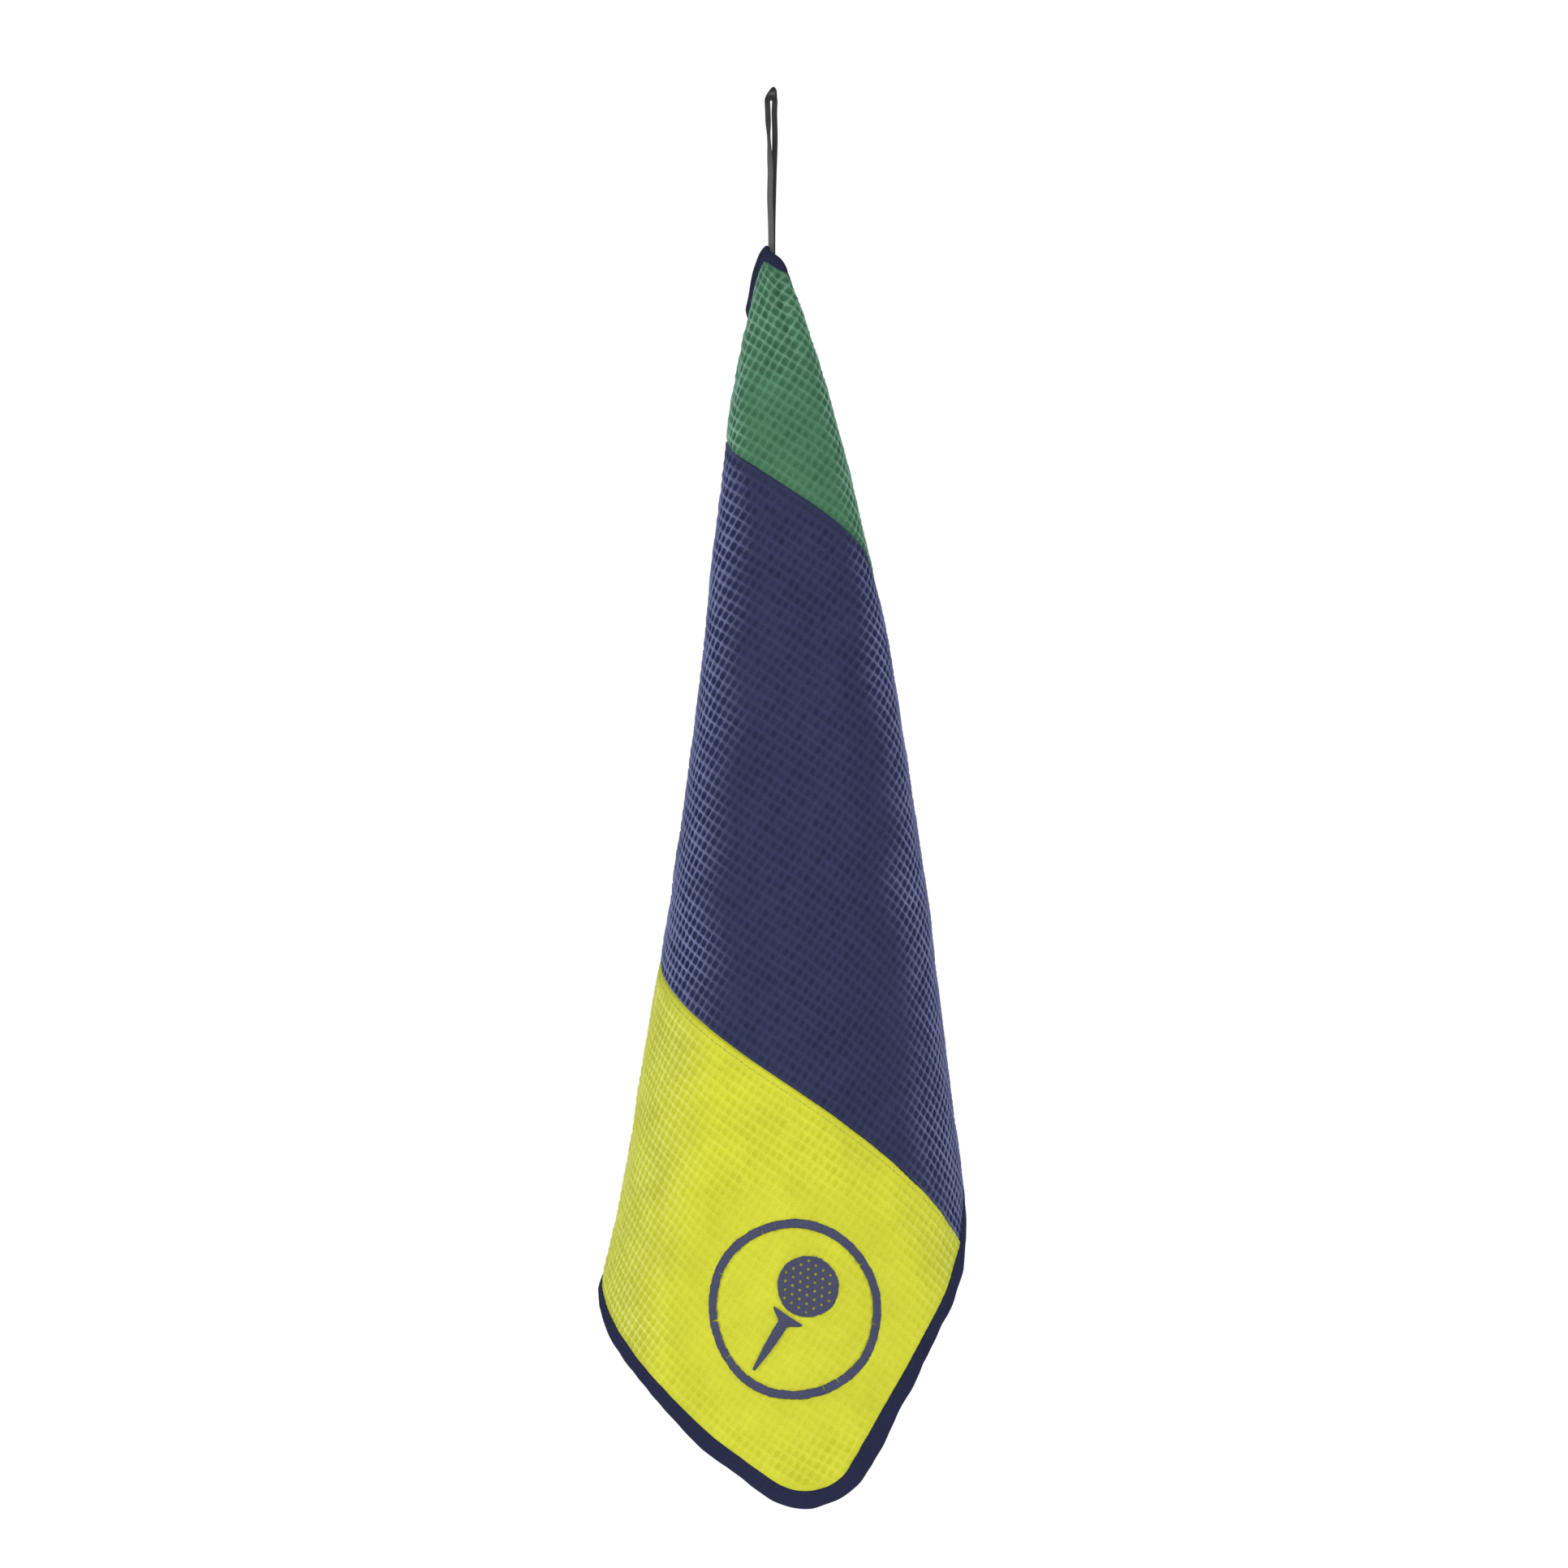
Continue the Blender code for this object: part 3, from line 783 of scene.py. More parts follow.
def new_piece(mesh: bpy.types.Mesh, finish: "Finish", slot: str, *nodes: str) -> bpy.types.Object:
    """Show a mesh as a piece that stands for CAD nodes.

    Args:
        mesh: the piece's mesh, whose name the piece takes.
        finish: the finish it gets.
        slot: not used.
        nodes: the CAD nodes it stands for.

    Returns:
        The new object.
    """
    piece = bpy.data.objects.new(mesh.name, mesh)
    bpy.context.scene.collection.objects.link(piece)
    mesh.materials.append(finish.material())
    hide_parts(*nodes)
    LOG.info("%s: %d points", piece.name, len(mesh.vertices))
    return piece


def thicken(piece: bpy.types.Object, thickness: float) -> None:
    """Give a one-faced sheet its thickness, behind its face.

    Args:
        piece: the sheet.
        thickness: the thickness in metres.
    """
    layer = piece.modifiers.new("thickness", "SOLIDIFY")
    layer.thickness = thickness
    layer.offset = -1.0
    layer.use_even_offset = False


def tube_mesh(name: str, rings: np.ndarray, flat_scale: float = 1.0) -> bpy.types.Mesh:
    """Closed tubes through rings of points.

    Args:
        name: the mesh's name.
        rings: tubes by rings by points in a ring by 3. End rings are narrow.
        flat_scale: length that one step along a tube takes on the flat map.

    Returns:
        One mesh of all the tubes.
    """
    tubes, count, around = rings.shape[:3]
    index = np.arange(tubes * count * around).reshape(tubes, count, around)
    index = np.concatenate([index, index[:, :, :1]], axis=2)
    corners = [index[:, :-1, :-1], index[:, :-1, 1:], index[:, 1:, 1:], index[:, 1:, :-1]]
    quads = np.stack(corners, axis=-1).reshape(-1, 4)
    half = around // 2
    caps = []
    for end in (index[:, 0], index[:, -1, ::-1]):
        for step in range(half - 1):
            cap = [end[:, step], end[:, around - 1 - step], end[:, around - 2 - step], end[:, step + 1]]
            caps.append(np.stack(cap, axis=-1))
    quads = np.concatenate([quads, *caps])
    steps = np.arange(count)[None, :, None] * flat_scale
    spots = np.arange(around)[None, None, :] / around
    along = np.broadcast_to(steps, rings.shape[:3])
    turned = np.broadcast_to(spots, rings.shape[:3])
    flat = np.stack([along, turned], axis=-1).reshape(-1, 2)
    return quad_mesh(name, rings.reshape(-1, 3), quads, flat)


# ---------------------------------------------------------------- finishes
class NodeBench:
    """A material's node tree, with short ways to add nodes and join them."""

    def __init__(self, name: str) -> None:
        """Start a material with one Principled shader.

        Args:
            name: the finish's name.
        """
        self.made = bpy.data.materials.new(name + "_finish")
        self.made.use_nodes = True
        self.tree = self.made.node_tree
        self.shader = self.tree.nodes["Principled BSDF"]

    def add(self, kind: str, **settings: object) -> bpy.types.Node:
        """Add a node.

        Args:
            kind: the node's type, without its ShaderNode prefix.
            settings: properties set on it.

        Returns:
            The node.
        """
        node = self.tree.nodes.new("ShaderNode" + kind)
        for name, value in settings.items():
            setattr(node, name, value)
        return node

    def join(self, source: bpy.types.NodeSocket, target: bpy.types.NodeSocket) -> None:
        """Lead one socket into another."""
        self.tree.links.new(source, target)

    def flat(self) -> bpy.types.NodeSocket:
        """The piece's flat map, in metres."""
        return self.add("UVMap", uv_map=FLAT_MAP).outputs["UV"]

    def noise(self, size: float, detail: float) -> bpy.types.NodeSocket:
        """Noise on the flat map whose features are about one size.

        Args:
            size: the size of the features, in metres.
            detail: how many finer layers it has.

        Returns:
            A value about one half.
        """
        scaled = self.add("VectorMath", operation="MULTIPLY")
        scaled.inputs[1].default_value = (1.0 / size, 1.0 / size, 1.0)
        self.join(self.flat(), scaled.inputs[0])
        noise = self.add("TexNoise", noise_dimensions="2D")
        noise.inputs["Scale"].default_value = 1.0
        noise.inputs["Detail"].default_value = detail
        self.join(scaled.outputs[0], noise.inputs["Vector"])
        return noise.outputs["Fac"]

    def ribs(self, pitch: float, angle: float) -> bpy.types.NodeSocket:
        """Soft parallel ribs on the flat map.

        Args:
            pitch: distance from rib to rib, in metres.
            angle: turn of the ribs, in radians.

        Returns:
            A value from 0 to 1.
        """
        turned = self.add("VectorRotate", rotation_type="Z_AXIS")
        turned.inputs["Angle"].default_value = angle
        self.join(self.flat(), turned.inputs["Vector"])
        wave = self.add("TexWave", wave_type="BANDS", bands_direction="X", wave_profile="SIN")
        wave.inputs["Scale"].default_value = math.pi / 10 / pitch
        wave.inputs["Distortion"].default_value = 0.0
        self.join(turned.outputs[0], wave.inputs["Vector"])
        return wave.outputs["Fac"]

    def maths(self, how: str, first: object, second: object) -> bpy.types.NodeSocket:
        """Work out one value from two.

        Args:
            how: the operation.
            first: a socket or a number.
            second: a socket or a number.

        Returns:
            The result.
        """
        node = self.add("Math", operation=how)
        for socket, value in zip(node.inputs, (first, second)):
            if isinstance(value, bpy.types.NodeSocket):
                self.join(value, socket)
            else:
                socket.default_value = value
        return node.outputs[0]

    def spread(self, value: bpy.types.NodeSocket, low: float, high: float,
               start: float = 0.0, end: float = 1.0) -> bpy.types.NodeSocket:
        """Map a value onto low to high.

        Args:
            value: the value.
            low: what start becomes.
            high: what end becomes.
            start: lowest value that is told apart.
            end: highest value that is told apart.

        Returns:
            The mapped value.
        """
        node = self.add("MapRange")
        node.inputs["From Min"].default_value = start
        node.inputs["From Max"].default_value = end
        node.inputs["To Min"].default_value = low
        node.inputs["To Max"].default_value = high
        self.join(value, node.inputs["Value"])
        return node.outputs[0]

    def mix(self, share: object, first: object, second: object, how: str = "MIX") -> bpy.types.NodeSocket:
        """Mix two colours.

        Args:
            share: how much of the second, as a socket or a number.
            first: a colour or a socket.
            second: a colour or a socket.
            how: the blend type.

        Returns:
            The mixed colour.
        """
        node = self.add("Mix", data_type="RGBA", blend_type=how)
        for socket, value in zip((node.inputs[0], node.inputs[6], node.inputs[7]), (share, first, second)):
            if isinstance(value, bpy.types.NodeSocket):
                self.join(value, socket)
            else:
                socket.default_value = value if isinstance(value, float) else (*value, 1.0)
        return node.outputs[2]

    def shade(self, value: bpy.types.NodeSocket) -> bpy.types.NodeSocket:
        """A grey colour as bright as a value.

        Args:
            value: the value.

        Returns:
            The colour.
        """
        node = self.add("CombineColor")
        for socket in node.inputs:
            self.join(value, socket)
        return node.outputs[0]

    def bump(self, height: bpy.types.NodeSocket, distance: float, strength: float = 1.0) -> None:
        """Lay a fine height over the surface.

        Args:
            height: the height, from 0 to 1.
            distance: how deep it is, in metres.
            strength: how strongly it shows.
        """
        node = self.add("Bump")
        node.inputs["Distance"].default_value = distance
        node.inputs["Strength"].default_value = strength
        self.join(height, node.inputs["Height"])
        self.join(node.outputs["Normal"], self.shader.inputs["Normal"])

    def set(self, **values: object) -> None:
        """Set values on the shader's own sockets, by their names with underscores."""
        for name, value in values.items():
            self.shader.inputs[name.replace("_", " ").title().replace("Ior", "IOR")].default_value = value


class Finish:
    """What a piece's surface is like."""

    name: str

    def material(self) -> bpy.types.Material:
        """The finish as a material, made the first time it is asked for."""
        found = bpy.data.materials.get(self.name + "_finish")
        return found or self.make()

    def make(self) -> bpy.types.Material:
        """Build the finish's material."""
        raise NotImplementedError


@dataclass(frozen=True)
class WaffleFinish(Finish):
    """Microfibre waffle cloth: ribs, fine yarns and fuzz, with painted shade in the pits and painted sheen on
    the crests towards the sides.
    """

    name: str
    # The second colour is painted shade in the pits; the last two are a crest with painted sheen and a pit
    # with deeper painted shade, blended in towards the sides.
    crest: tuple
    pit: tuple
    sheen_lit_crest: tuple
    shaded_side_pit: tuple
    fleck: float = 0.18
    sheen: float = 0.22
    gloss: float = 0.15
    taut_range: tuple = (0.1, 0.9)
    sheen_range: tuple = (0.46, 0.98)
    fuzz_size: float = 0.0007
    patch_size: float = 0.024
    yarn: float = 0.00042
    yarn_depth: float = 0.00012

    def make(self) -> bpy.types.Material:
        """Build the finish's material.

        Returns:
            The material.
        """
        bench = NodeBench(self.name)
        relief = bench.add("Attribute", attribute_name=RELIEF).outputs["Fac"]
        loft_and_sheen = bench.add("Attribute", attribute_name=LOFT_AND_SHEEN).outputs["Fac"]
        # Painted shade: the pits get a darker colour than the crests.
        taut = bench.mix(bench.spread(relief, 0.0, 1.0, *self.taut_range), self.pit, self.crest)
        # Painted sheen and shade: towards the sides the crests turn much lighter and the pits darker, as if
        # raked by light.
        raised = bench.spread(relief, 0.0, 1.0, *self.sheen_range)
        free = bench.mix(raised, self.shaded_side_pit, self.sheen_lit_crest)
        colour = bench.mix(loft_and_sheen, taut, free)
        fuzz = bench.noise(self.fuzz_size, 3.0)
        patch = bench.noise(self.patch_size, 3.0)
        tone = bench.maths("MULTIPLY", bench.spread(fuzz, 1 - self.fleck, 1 + self.fleck, 0.3, 0.7),
                           bench.spread(patch, 0.95, 1.05, 0.3, 0.7))
        colour = bench.mix(1.0, colour, bench.shade(tone), "MULTIPLY")
        bench.join(colour, bench.shader.inputs["Base Color"])
        bench.join(bench.spread(fuzz, 0.80, 1.0), bench.shader.inputs["Roughness"])
        warp, weft = bench.ribs(self.yarn, 0.0), bench.ribs(self.yarn * 1.2, math.pi / 2)
        yarns = bench.maths("MULTIPLY", warp, weft)
        bench.bump(bench.maths("ADD", yarns, fuzz), self.yarn_depth, 0.8)
        bench.set(sheen_weight=self.sheen, sheen_roughness=0.5, sheen_tint=(*self.sheen_lit_crest, 1.0))
        bench.set(specular_ior_level=self.gloss)
        return bench.made


@dataclass(frozen=True)
class TapeFinish(Finish):
    """Woven tape: fine ribs across it, slightly worn along its crests; the loop's tape also gets painted
    light, grey where a strand would be lit.
    """

    name: str
    colour: tuple
    worn: tuple
    pitch: float
    rib_depth: float = 0.00010
    fuzz_size: float = 0.0008
    patch_size: float = 0.020
    roughness: float = 0.8
    sheen: float = 0.15
    gloss: float = 0.25
    # Whether the tape gets painted light from the points' values.
    paints_strand_light: bool = False

    def make(self) -> bpy.types.Material:
        """Build the finish's material.

        Returns:
            The material.
        """
        bench = NodeBench(self.name)
        ribs = bench.ribs(self.pitch, 0.0)
        cross = bench.ribs(self.pitch * 1.6, math.pi / 2)
        weave = bench.maths("MULTIPLY", bench.spread(ribs, 0.35, 1.0), bench.spread(cross, 0.6, 1.0))
        fuzz = bench.noise(self.fuzz_size, 3.0)
        patch = bench.noise(self.patch_size, 3.0)
        wear = bench.maths("MULTIPLY", weave, bench.spread(patch, 0.2, 1.0))
        # Painted light: the loop's black tape turns grey where a strand would be lit and stays black where it
        # would lie in shade.
        if self.paints_strand_light:
            painted_light = bench.add("Attribute", attribute_name=PAINTED_LIGHT).outputs["Fac"]
            wear = bench.maths("MULTIPLY", bench.spread(wear, 0.5, 1.0), painted_light)
        colour = bench.mix(wear, self.colour, self.worn)
        colour = bench.mix(1.0, colour, bench.shade(bench.spread(fuzz, 0.75, 1.25)), "MULTIPLY")
        bench.join(colour, bench.shader.inputs["Base Color"])
        rough = bench.spread(fuzz, self.roughness - 0.08, self.roughness + 0.08)
        bench.join(rough, bench.shader.inputs["Roughness"])
        bench.bump(bench.maths("ADD", weave, bench.maths("MULTIPLY", fuzz, 0.5)), self.rib_depth, 0.8)
        bench.set(sheen_weight=self.sheen, sheen_roughness=0.4, sheen_tint=(*self.worn, 1.0))
        bench.set(specular_ior_level=self.gloss)
        return bench.made


@dataclass(frozen=True)
class ThreadFinish(Finish):
    """Sewing thread: a twist of two plies with a slight gloss."""

    name: str
    colour: tuple
    lit: tuple
    ply_depth: float = 0.00008

    def make(self) -> bpy.types.Material:
        """Build the finish's material.

        Returns:
            The material.
        """
        bench = NodeBench(self.name)
        turned = bench.add("VectorMath", operation="MULTIPLY")
        turned.inputs[1].default_value = (3.0, 2.0, 1.0)
        bench.join(bench.flat(), turned.inputs[0])
        wave = bench.add("TexWave", wave_type="BANDS", bands_direction="DIAGONAL", wave_profile="SIN")
        wave.inputs["Scale"].default_value = math.pi / 10 * 2
        bench.join(turned.outputs[0], wave.inputs["Vector"])
        bench.join(bench.mix(wave.outputs["Fac"], self.colour, self.lit), bench.shader.inputs["Base Color"])
        bench.join(bench.spread(wave.outputs["Fac"], 0.5, 0.7), bench.shader.inputs["Roughness"])
        bench.bump(wave.outputs["Fac"], self.ply_depth)
        bench.set(sheen_weight=0.1, specular_ior_level=0.35)
        return bench.made


@dataclass(frozen=True)
class FilmFinish(Finish):
    """Pressed twill film: fine slanted ribs with worn flecks."""

    name: str
    colour: tuple
    worn: tuple
    pitch: float = 0.00065
    slant: float = math.radians(35)
    rib_depth: float = 0.00010
    fleck_size: float = 0.0009
    patch_size: float = 0.012

    def make(self) -> bpy.types.Material:
        """Build the finish's material.

        Returns:
            The material.
        """
        bench = NodeBench(self.name)
        ribs = bench.ribs(self.pitch, self.slant)
        flecks = bench.noise(self.fleck_size, 4.0)
        patch = bench.noise(self.patch_size, 3.0)
        wear = bench.maths("MULTIPLY", flecks, bench.spread(patch, 0.3, 1.3))
        colour = bench.mix(bench.maths("MULTIPLY", wear, ribs), self.colour, self.worn)
        colour = bench.mix(1.0, colour, bench.shade(bench.spread(flecks, 0.72, 1.28)), "MULTIPLY")
        bench.join(colour, bench.shader.inputs["Base Color"])
        bench.join(bench.spread(flecks, 0.55, 0.8), bench.shader.inputs["Roughness"])
        bench.bump(bench.maths("ADD", ribs, flecks), self.rib_depth, 0.8)
        bench.set(sheen_weight=0.12, sheen_roughness=0.4, specular_ior_level=0.3)
        return bench.made


@dataclass(frozen=True)
class PlainFinish(Finish):
    """A plain matt surface for the studio."""

    name: str
    colour: tuple
    glow: float = 0.0

    def make(self) -> bpy.types.Material:
        """Build the finish's material.

        Returns:
            The material.
        """
        bench = NodeBench(self.name)
        bench.set(base_color=(*self.colour, 1.0), roughness=0.9, specular_ior_level=0.1)
        bench.set(emission_color=(1.0, 1.0, 1.0, 1.0), emission_strength=self.glow)
        return bench.made


class Cloths(Enum):
    """The finishes of the three waffle panels."""

    # Each: crest, pit with painted shade, crest with painted sheen, pit with deeper painted shade.
    GREEN = WaffleFinish("green_waffle", (0.084, 0.228, 0.124), (0.050, 0.150, 0.076),
                         (0.310, 0.560, 0.420), (0.038, 0.130, 0.068))
    NAVY = WaffleFinish("navy_waffle", (0.038, 0.045, 0.112), (0.021, 0.026, 0.070),
                        (0.260, 0.290, 0.520), (0.014, 0.020, 0.070))
    YELLOW = WaffleFinish("yellow_waffle", (0.740, 0.750, 0.060), (0.620, 0.640, 0.032),
                          (0.840, 0.860, 0.210), (0.520, 0.560, 0.045), fleck=0.08)


NAVY_TAPE = TapeFinish("navy_tape", (0.008, 0.011, 0.038), (0.019, 0.025, 0.080), 0.00055)
# The black tape's grey is mostly painted light on its lit strand, a little of it the weave's wear.
BLACK_TAPE = TapeFinish("black_tape", (0.007, 0.007, 0.007), (0.150, 0.147, 0.142), 0.00050,
                        roughness=0.55, sheen=0.05, gloss=0.30, paints_strand_light=True)
YELLOW_THREAD = ThreadFinish("yellow_thread", (0.420, 0.440, 0.030), (0.700, 0.720, 0.120))
NAVY_THREAD = ThreadFinish("navy_thread", (0.014, 0.018, 0.050), (0.030, 0.036, 0.085))
GREY_THREAD = ThreadFinish("grey_thread", (0.060, 0.060, 0.062), (0.220, 0.220, 0.220))
STUDIO_WHITE = PlainFinish("studio_white", (0.86, 0.86, 0.86), 0.25)
NAVY_FILM = FilmFinish("navy_film", (0.042, 0.047, 0.105), (0.105, 0.112, 0.190))


# ------------------------------------------------------------ sub-assemblies
@dataclass
class WafflePanels:
    """The green, navy and yellow panels, sewn end to end."""

    cut: ClothCut
    form: HangingForm
    weave: WaffleWeave
    points_in_rib: int = 6
    tuck: float = 0.0028
    thickness: float = 0.0011
    seam_steps: tuple = (0.0003, 0.0006, 0.0010, 0.0015)

    def inset(self, along: np.ndarray) -> np.ndarray:
        """Distance from a long edge to where a row of the panel starts.

        Args:
            along: the rows' places from the short edge.

        Returns:
            The distance for each row.
        """
        edge = self.cut.binding_width - self.tuck
        corner = self.cut.corner_radius - edge
        end = np.minimum(along, self.cut.length - along) - edge
        over = np.clip(corner - end, 0.0, corner)
        return edge + corner - np.sqrt(np.maximum(corner**2 - over**2, 0.0))

    def rows(self, start: float, end: float) -> np.ndarray:
        """Places of the rows between two seams or ends, close at each seam.

        Args:
            start: distance along to the first row.
            end: distance along to the last row.

        Returns:
            The places, in order.
        """
        step = self.weave.rib_along / self.points_in_rib
        first, last = math.ceil((start + step) / step), math.floor((end - step) / step)
        inner = np.arange(first, last + 1) * step
        extra = [start + near for near in (0.0, *self.seam_steps)]
        extra += [end - near for near in (0.0, *self.seam_steps)]
        return np.unique(np.concatenate([inner, extra]).round(6))

    def build_panel(self, name: str, start: float, end: float, finish: Cloths) -> bpy.types.Object:
        """Build one panel with its relief.

        Args:
            name: the panel's name.
            start: distance along to its upper edge.
            end: distance along to its lower edge.
            finish: its cloth.

        Returns:
            The panel.
        """
        along = self.rows(start, end)[:, None]
        edge = self.cut.binding_width - self.tuck
        step = self.weave.rib_across / self.points_in_rib
        count = round((self.cut.width - 2 * edge) / step) + 1
        share = np.linspace(0.0, 1.0, count)[None, :]
        inset = self.inset(along)
        across = inset + share * (self.cut.width - 2 * inset)
        along = np.broadcast_to(along, across.shape)
        loft_and_sheen = self.form.loft_and_sheen(across, along)
        height, relief = self.weave.rise(across, along, loft_and_sheen)
        points = self.form.place(across, along, height)
        mesh = grid_mesh(name + "_cloth", points, np.stack([across, along], axis=-1))
        set_values(mesh, RELIEF, relief)
        # Kept for the finish, which paints sheen on the crests and shade in the pits by it.
        set_values(mesh, LOFT_AND_SHEEN, loft_and_sheen)
        piece = new_piece(mesh, finish.value, finish.value.name, name)
        thicken(piece, self.thickness)
        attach(piece, Body.TOWEL.value)
        return piece

    def build(self) -> None:
        """Build the three panels."""
        edge = self.cut.binding_width - self.tuck
        upper, lower = self.cut.upper_seam, self.cut.lower_seam
        self.build_panel("green_panel", edge, upper, Cloths.GREEN)
        self.build_panel("navy_panel", upper, lower, Cloths.NAVY)
        self.build_panel("yellow_panel", lower, self.cut.length - edge, Cloths.YELLOW)


@dataclass
class StitchMaker:
    """Makes runs of single stitches along a line on the cloth."""

    form: HangingForm
    pitch: float = 0.0030
    length: float = 0.0024
    radius: float = 0.00024
    rings: int = 6
    around: int = 6
    arch_lift: float = 1.3
    arch_sink: float = 0.9
    thin_end: float = 0.35

    def run(self, name: str, line: Callable[[np.ndarray], tuple], total: float) -> bpy.types.Mesh:
        """A mesh of stitches along a line.

        Args:
            name: the mesh's name.
            line: gives across, along and rise at distances along the line.
            total: length of the line.

        Returns:
            The mesh.
        """
        count = int(total / self.pitch)
        starts = (np.arange(count) + 0.5) * total / count
        share = np.linspace(-0.5, 0.5, self.rings)
        travel = starts[:, None] + share[None, :] * self.length
        across, along, rise = line(travel)
        arch = 1.0 - (2 * share[None, :]) ** 4
        rise = rise + self.radius * (self.arch_lift * arch - self.arch_sink)
        centre = self.form.place(across, along, rise)
        out = self.form.normal(across, along)
        ahead = np.gradient(centre, axis=1)
        side = np.cross(ahead, out)
        side /= np.linalg.norm(side, axis=-1, keepdims=True)
        full = np.sqrt(np.maximum(arch, 0.0))
        thick = self.radius * (self.thin_end + (1 - self.thin_end) * full)
        turn = np.linspace(0.0, 2 * math.pi, self.around, endpoint=False)
        rings = centre[:, :, None] + thick[..., None, None] * (
            np.cos(turn)[None, None, :, None] * side[:, :, None]
            + np.sin(turn)[None, None, :, None] * out[:, :, None])
        return tube_mesh(name, rings)


@dataclass
class EdgeBinding:
    """The tape folded over the rim, and the thread that sews it down."""

    cut: ClothCut
    form: HangingForm
    step: float = 0.0012
    tape: float = 0.0005
    swell: float = 0.00075
    stitch_inset: float = 0.0020
    stitch_share: float = 0.62
    stitch_sink: float = 0.0001
    profile_steps: int = 9
    bend_start: float = 0.12
    bend_reach: float = 0.15
    tucked_rise: float = 0.75
    flat_share: float = 0.55
    inner_layers: tuple = ((0.00035, 0.020, 3.0), (0.00018, 0.006, 40.0))
    outer_layers: tuple = ((0.0010, 0.020, 70.0), (0.0004, 0.008, 90.0))
    height_layers: tuple = ((0.00022, 0.007, 20.0),)
    sewn_width: float = 0.0009
    sewn_dip: float = 0.00030
    sewn_pinch: float = 0.00012
    pinch_pitch: float = 0.0030
    wave_noise: SoftNoise = field(default_factory=lambda: SoftNoise(53))

    def __post_init__(self) -> None:
        """Lay out the stops round the rim."""
        radius = self.cut.corner_radius
        wide, long = self.cut.width - radius, self.cut.length - radius
        centres = [(radius, radius), (wide, radius), (wide, long), (radius, long)]
        stops = []
        for corner, centre in enumerate(centres):
            first = math.pi + corner * math.pi / 2
            turns = np.linspace(first, first + math.pi / 2, int(radius * math.pi / 2 / self.step))
            stops += [(*centre, math.cos(turn), math.sin(turn)) for turn in turns]
            following = centres[(corner + 1) % 4]
            span = math.hypot(following[0] - centre[0], following[1] - centre[1])
            out = (math.cos(first + math.pi / 2), math.sin(first + math.pi / 2))
            for share in np.linspace(0.0, 1.0, int(span / self.step))[1:-1]:
                across = centre[0] + share * (following[0] - centre[0])
                along = centre[1] + share * (following[1] - centre[1])
                stops.append((across, along, *out))
        self.stops = np.array(stops)
        rim = self.stops[:, :2] + radius * self.stops[:, 2:]
        steps = np.hypot(*np.diff(np.concatenate([rim, rim[:1]]), axis=0).T)
        self.travel = np.concatenate([[0.0], np.cumsum(steps)[:-1]])
        self.total = float(steps.sum())

    def waver(self, travel: np.ndarray, layers: tuple) -> np.ndarray:
        """Noise along the rim that meets itself where the tape's ends join.

        Args:
            travel: distances round the rim.
            layers: height, size of the features and part of the noise for each layer.

        Returns:
            The sum of the layers at each distance, in metres.
        """
        turn = 2 * math.pi * travel / self.total
        total = np.zeros_like(travel)
        for height, size, lane in layers:
            radius = self.total / (2 * math.pi * size)
            x, y = radius * np.cos(turn) + lane, radius * np.sin(turn) + lane
            total = total + height * self.wave_noise.at(x, y)
        return total

    def profile(self) -> np.ndarray:
        """Section of the folded tape, from its edge on the face to its edge on the back.

        Returns:
            Inset as a share of the tape's width and rise as a share of its lift, a row a point.
        """
        turn = np.linspace(0.0, math.pi, self.profile_steps)[1:-1]
        steps = np.linspace(1.0, self.bend_start, self.profile_steps)
        face = [(1.0, -self.tucked_rise), *[(share, 1.0) for share in steps]]
        bend = [(self.bend_start - self.bend_reach * math.sin(angle), math.cos(angle)) for angle in turn]
        return np.array(face + bend + [(share, -rise) for share, rise in reversed(face)])

    def flat_point(self, travel: np.ndarray, inset: np.ndarray) -> tuple:
        """The flat place at a distance round the rim and in from it.

        Args:
            travel: distances round the rim.
            inset: distances in from it.

        Returns:
            Places across and places along.
        """
        order = np.arange(len(self.travel) + 1)
        marks = np.concatenate([self.travel, [self.total]])
        where = np.interp(travel % self.total, marks, order)
        ring = np.concatenate([self.stops, self.stops[:1]])
        low = np.minimum(where.astype(int), len(self.stops) - 1)
        share = (where - low)[..., None]
        stop = ring[low] * (1 - share) + ring[low + 1] * share
        reach = (self.cut.corner_radius - inset)[..., None]
        point = stop[..., :2] + stop[..., 2:] * reach
        return point[..., 0], point[..., 1]

    def build_tape(self) -> bpy.types.Object:
        """Build the tape as one sheet folded over the rim.

        Returns:
            The tape.
        """
        profile = self.profile()
        travel = np.append(self.travel, self.total)[:, None]
        lean = self.waver(travel, self.inner_layers)
        outer = self.waver(travel, self.outer_layers)
        width = self.cut.binding_width
        share = profile[None, :, 0]
        inset = share * width + lean * share - outer * (1 - share)
        bulge = np.sin(math.pi * np.clip(share, 0.0, 1.0)) ** 0.5
        sewn = hump(inset - (width - self.stitch_inset), self.sewn_width)
        lift = self.cut.cloth_half + self.swell * (self.flat_share + (1 - self.flat_share) * bulge)
        lift = lift + self.waver(travel, self.height_layers) * (1 - sewn)
        pinch = 0.5 + 0.5 * np.cos(2 * math.pi * travel / self.pinch_pitch)
        lift = lift - sewn * (self.sewn_dip + self.sewn_pinch * pinch)
        rise = profile[None, :, 1] * lift
        stops = np.concatenate([self.stops, self.stops[:1]])[:, None]
        reach = self.cut.corner_radius - inset
        across = stops[..., 0] + stops[..., 2] * reach
        along = stops[..., 1] + stops[..., 3] * reach
        points = self.form.place(across, along, rise)
        around = np.cumsum(np.abs(np.gradient(profile[:, 0]))) * width
        flat = np.stack(np.broadcast_arrays(travel, around[None, :]), axis=-1)
        mesh = grid_mesh("binding_tape", points, flat)
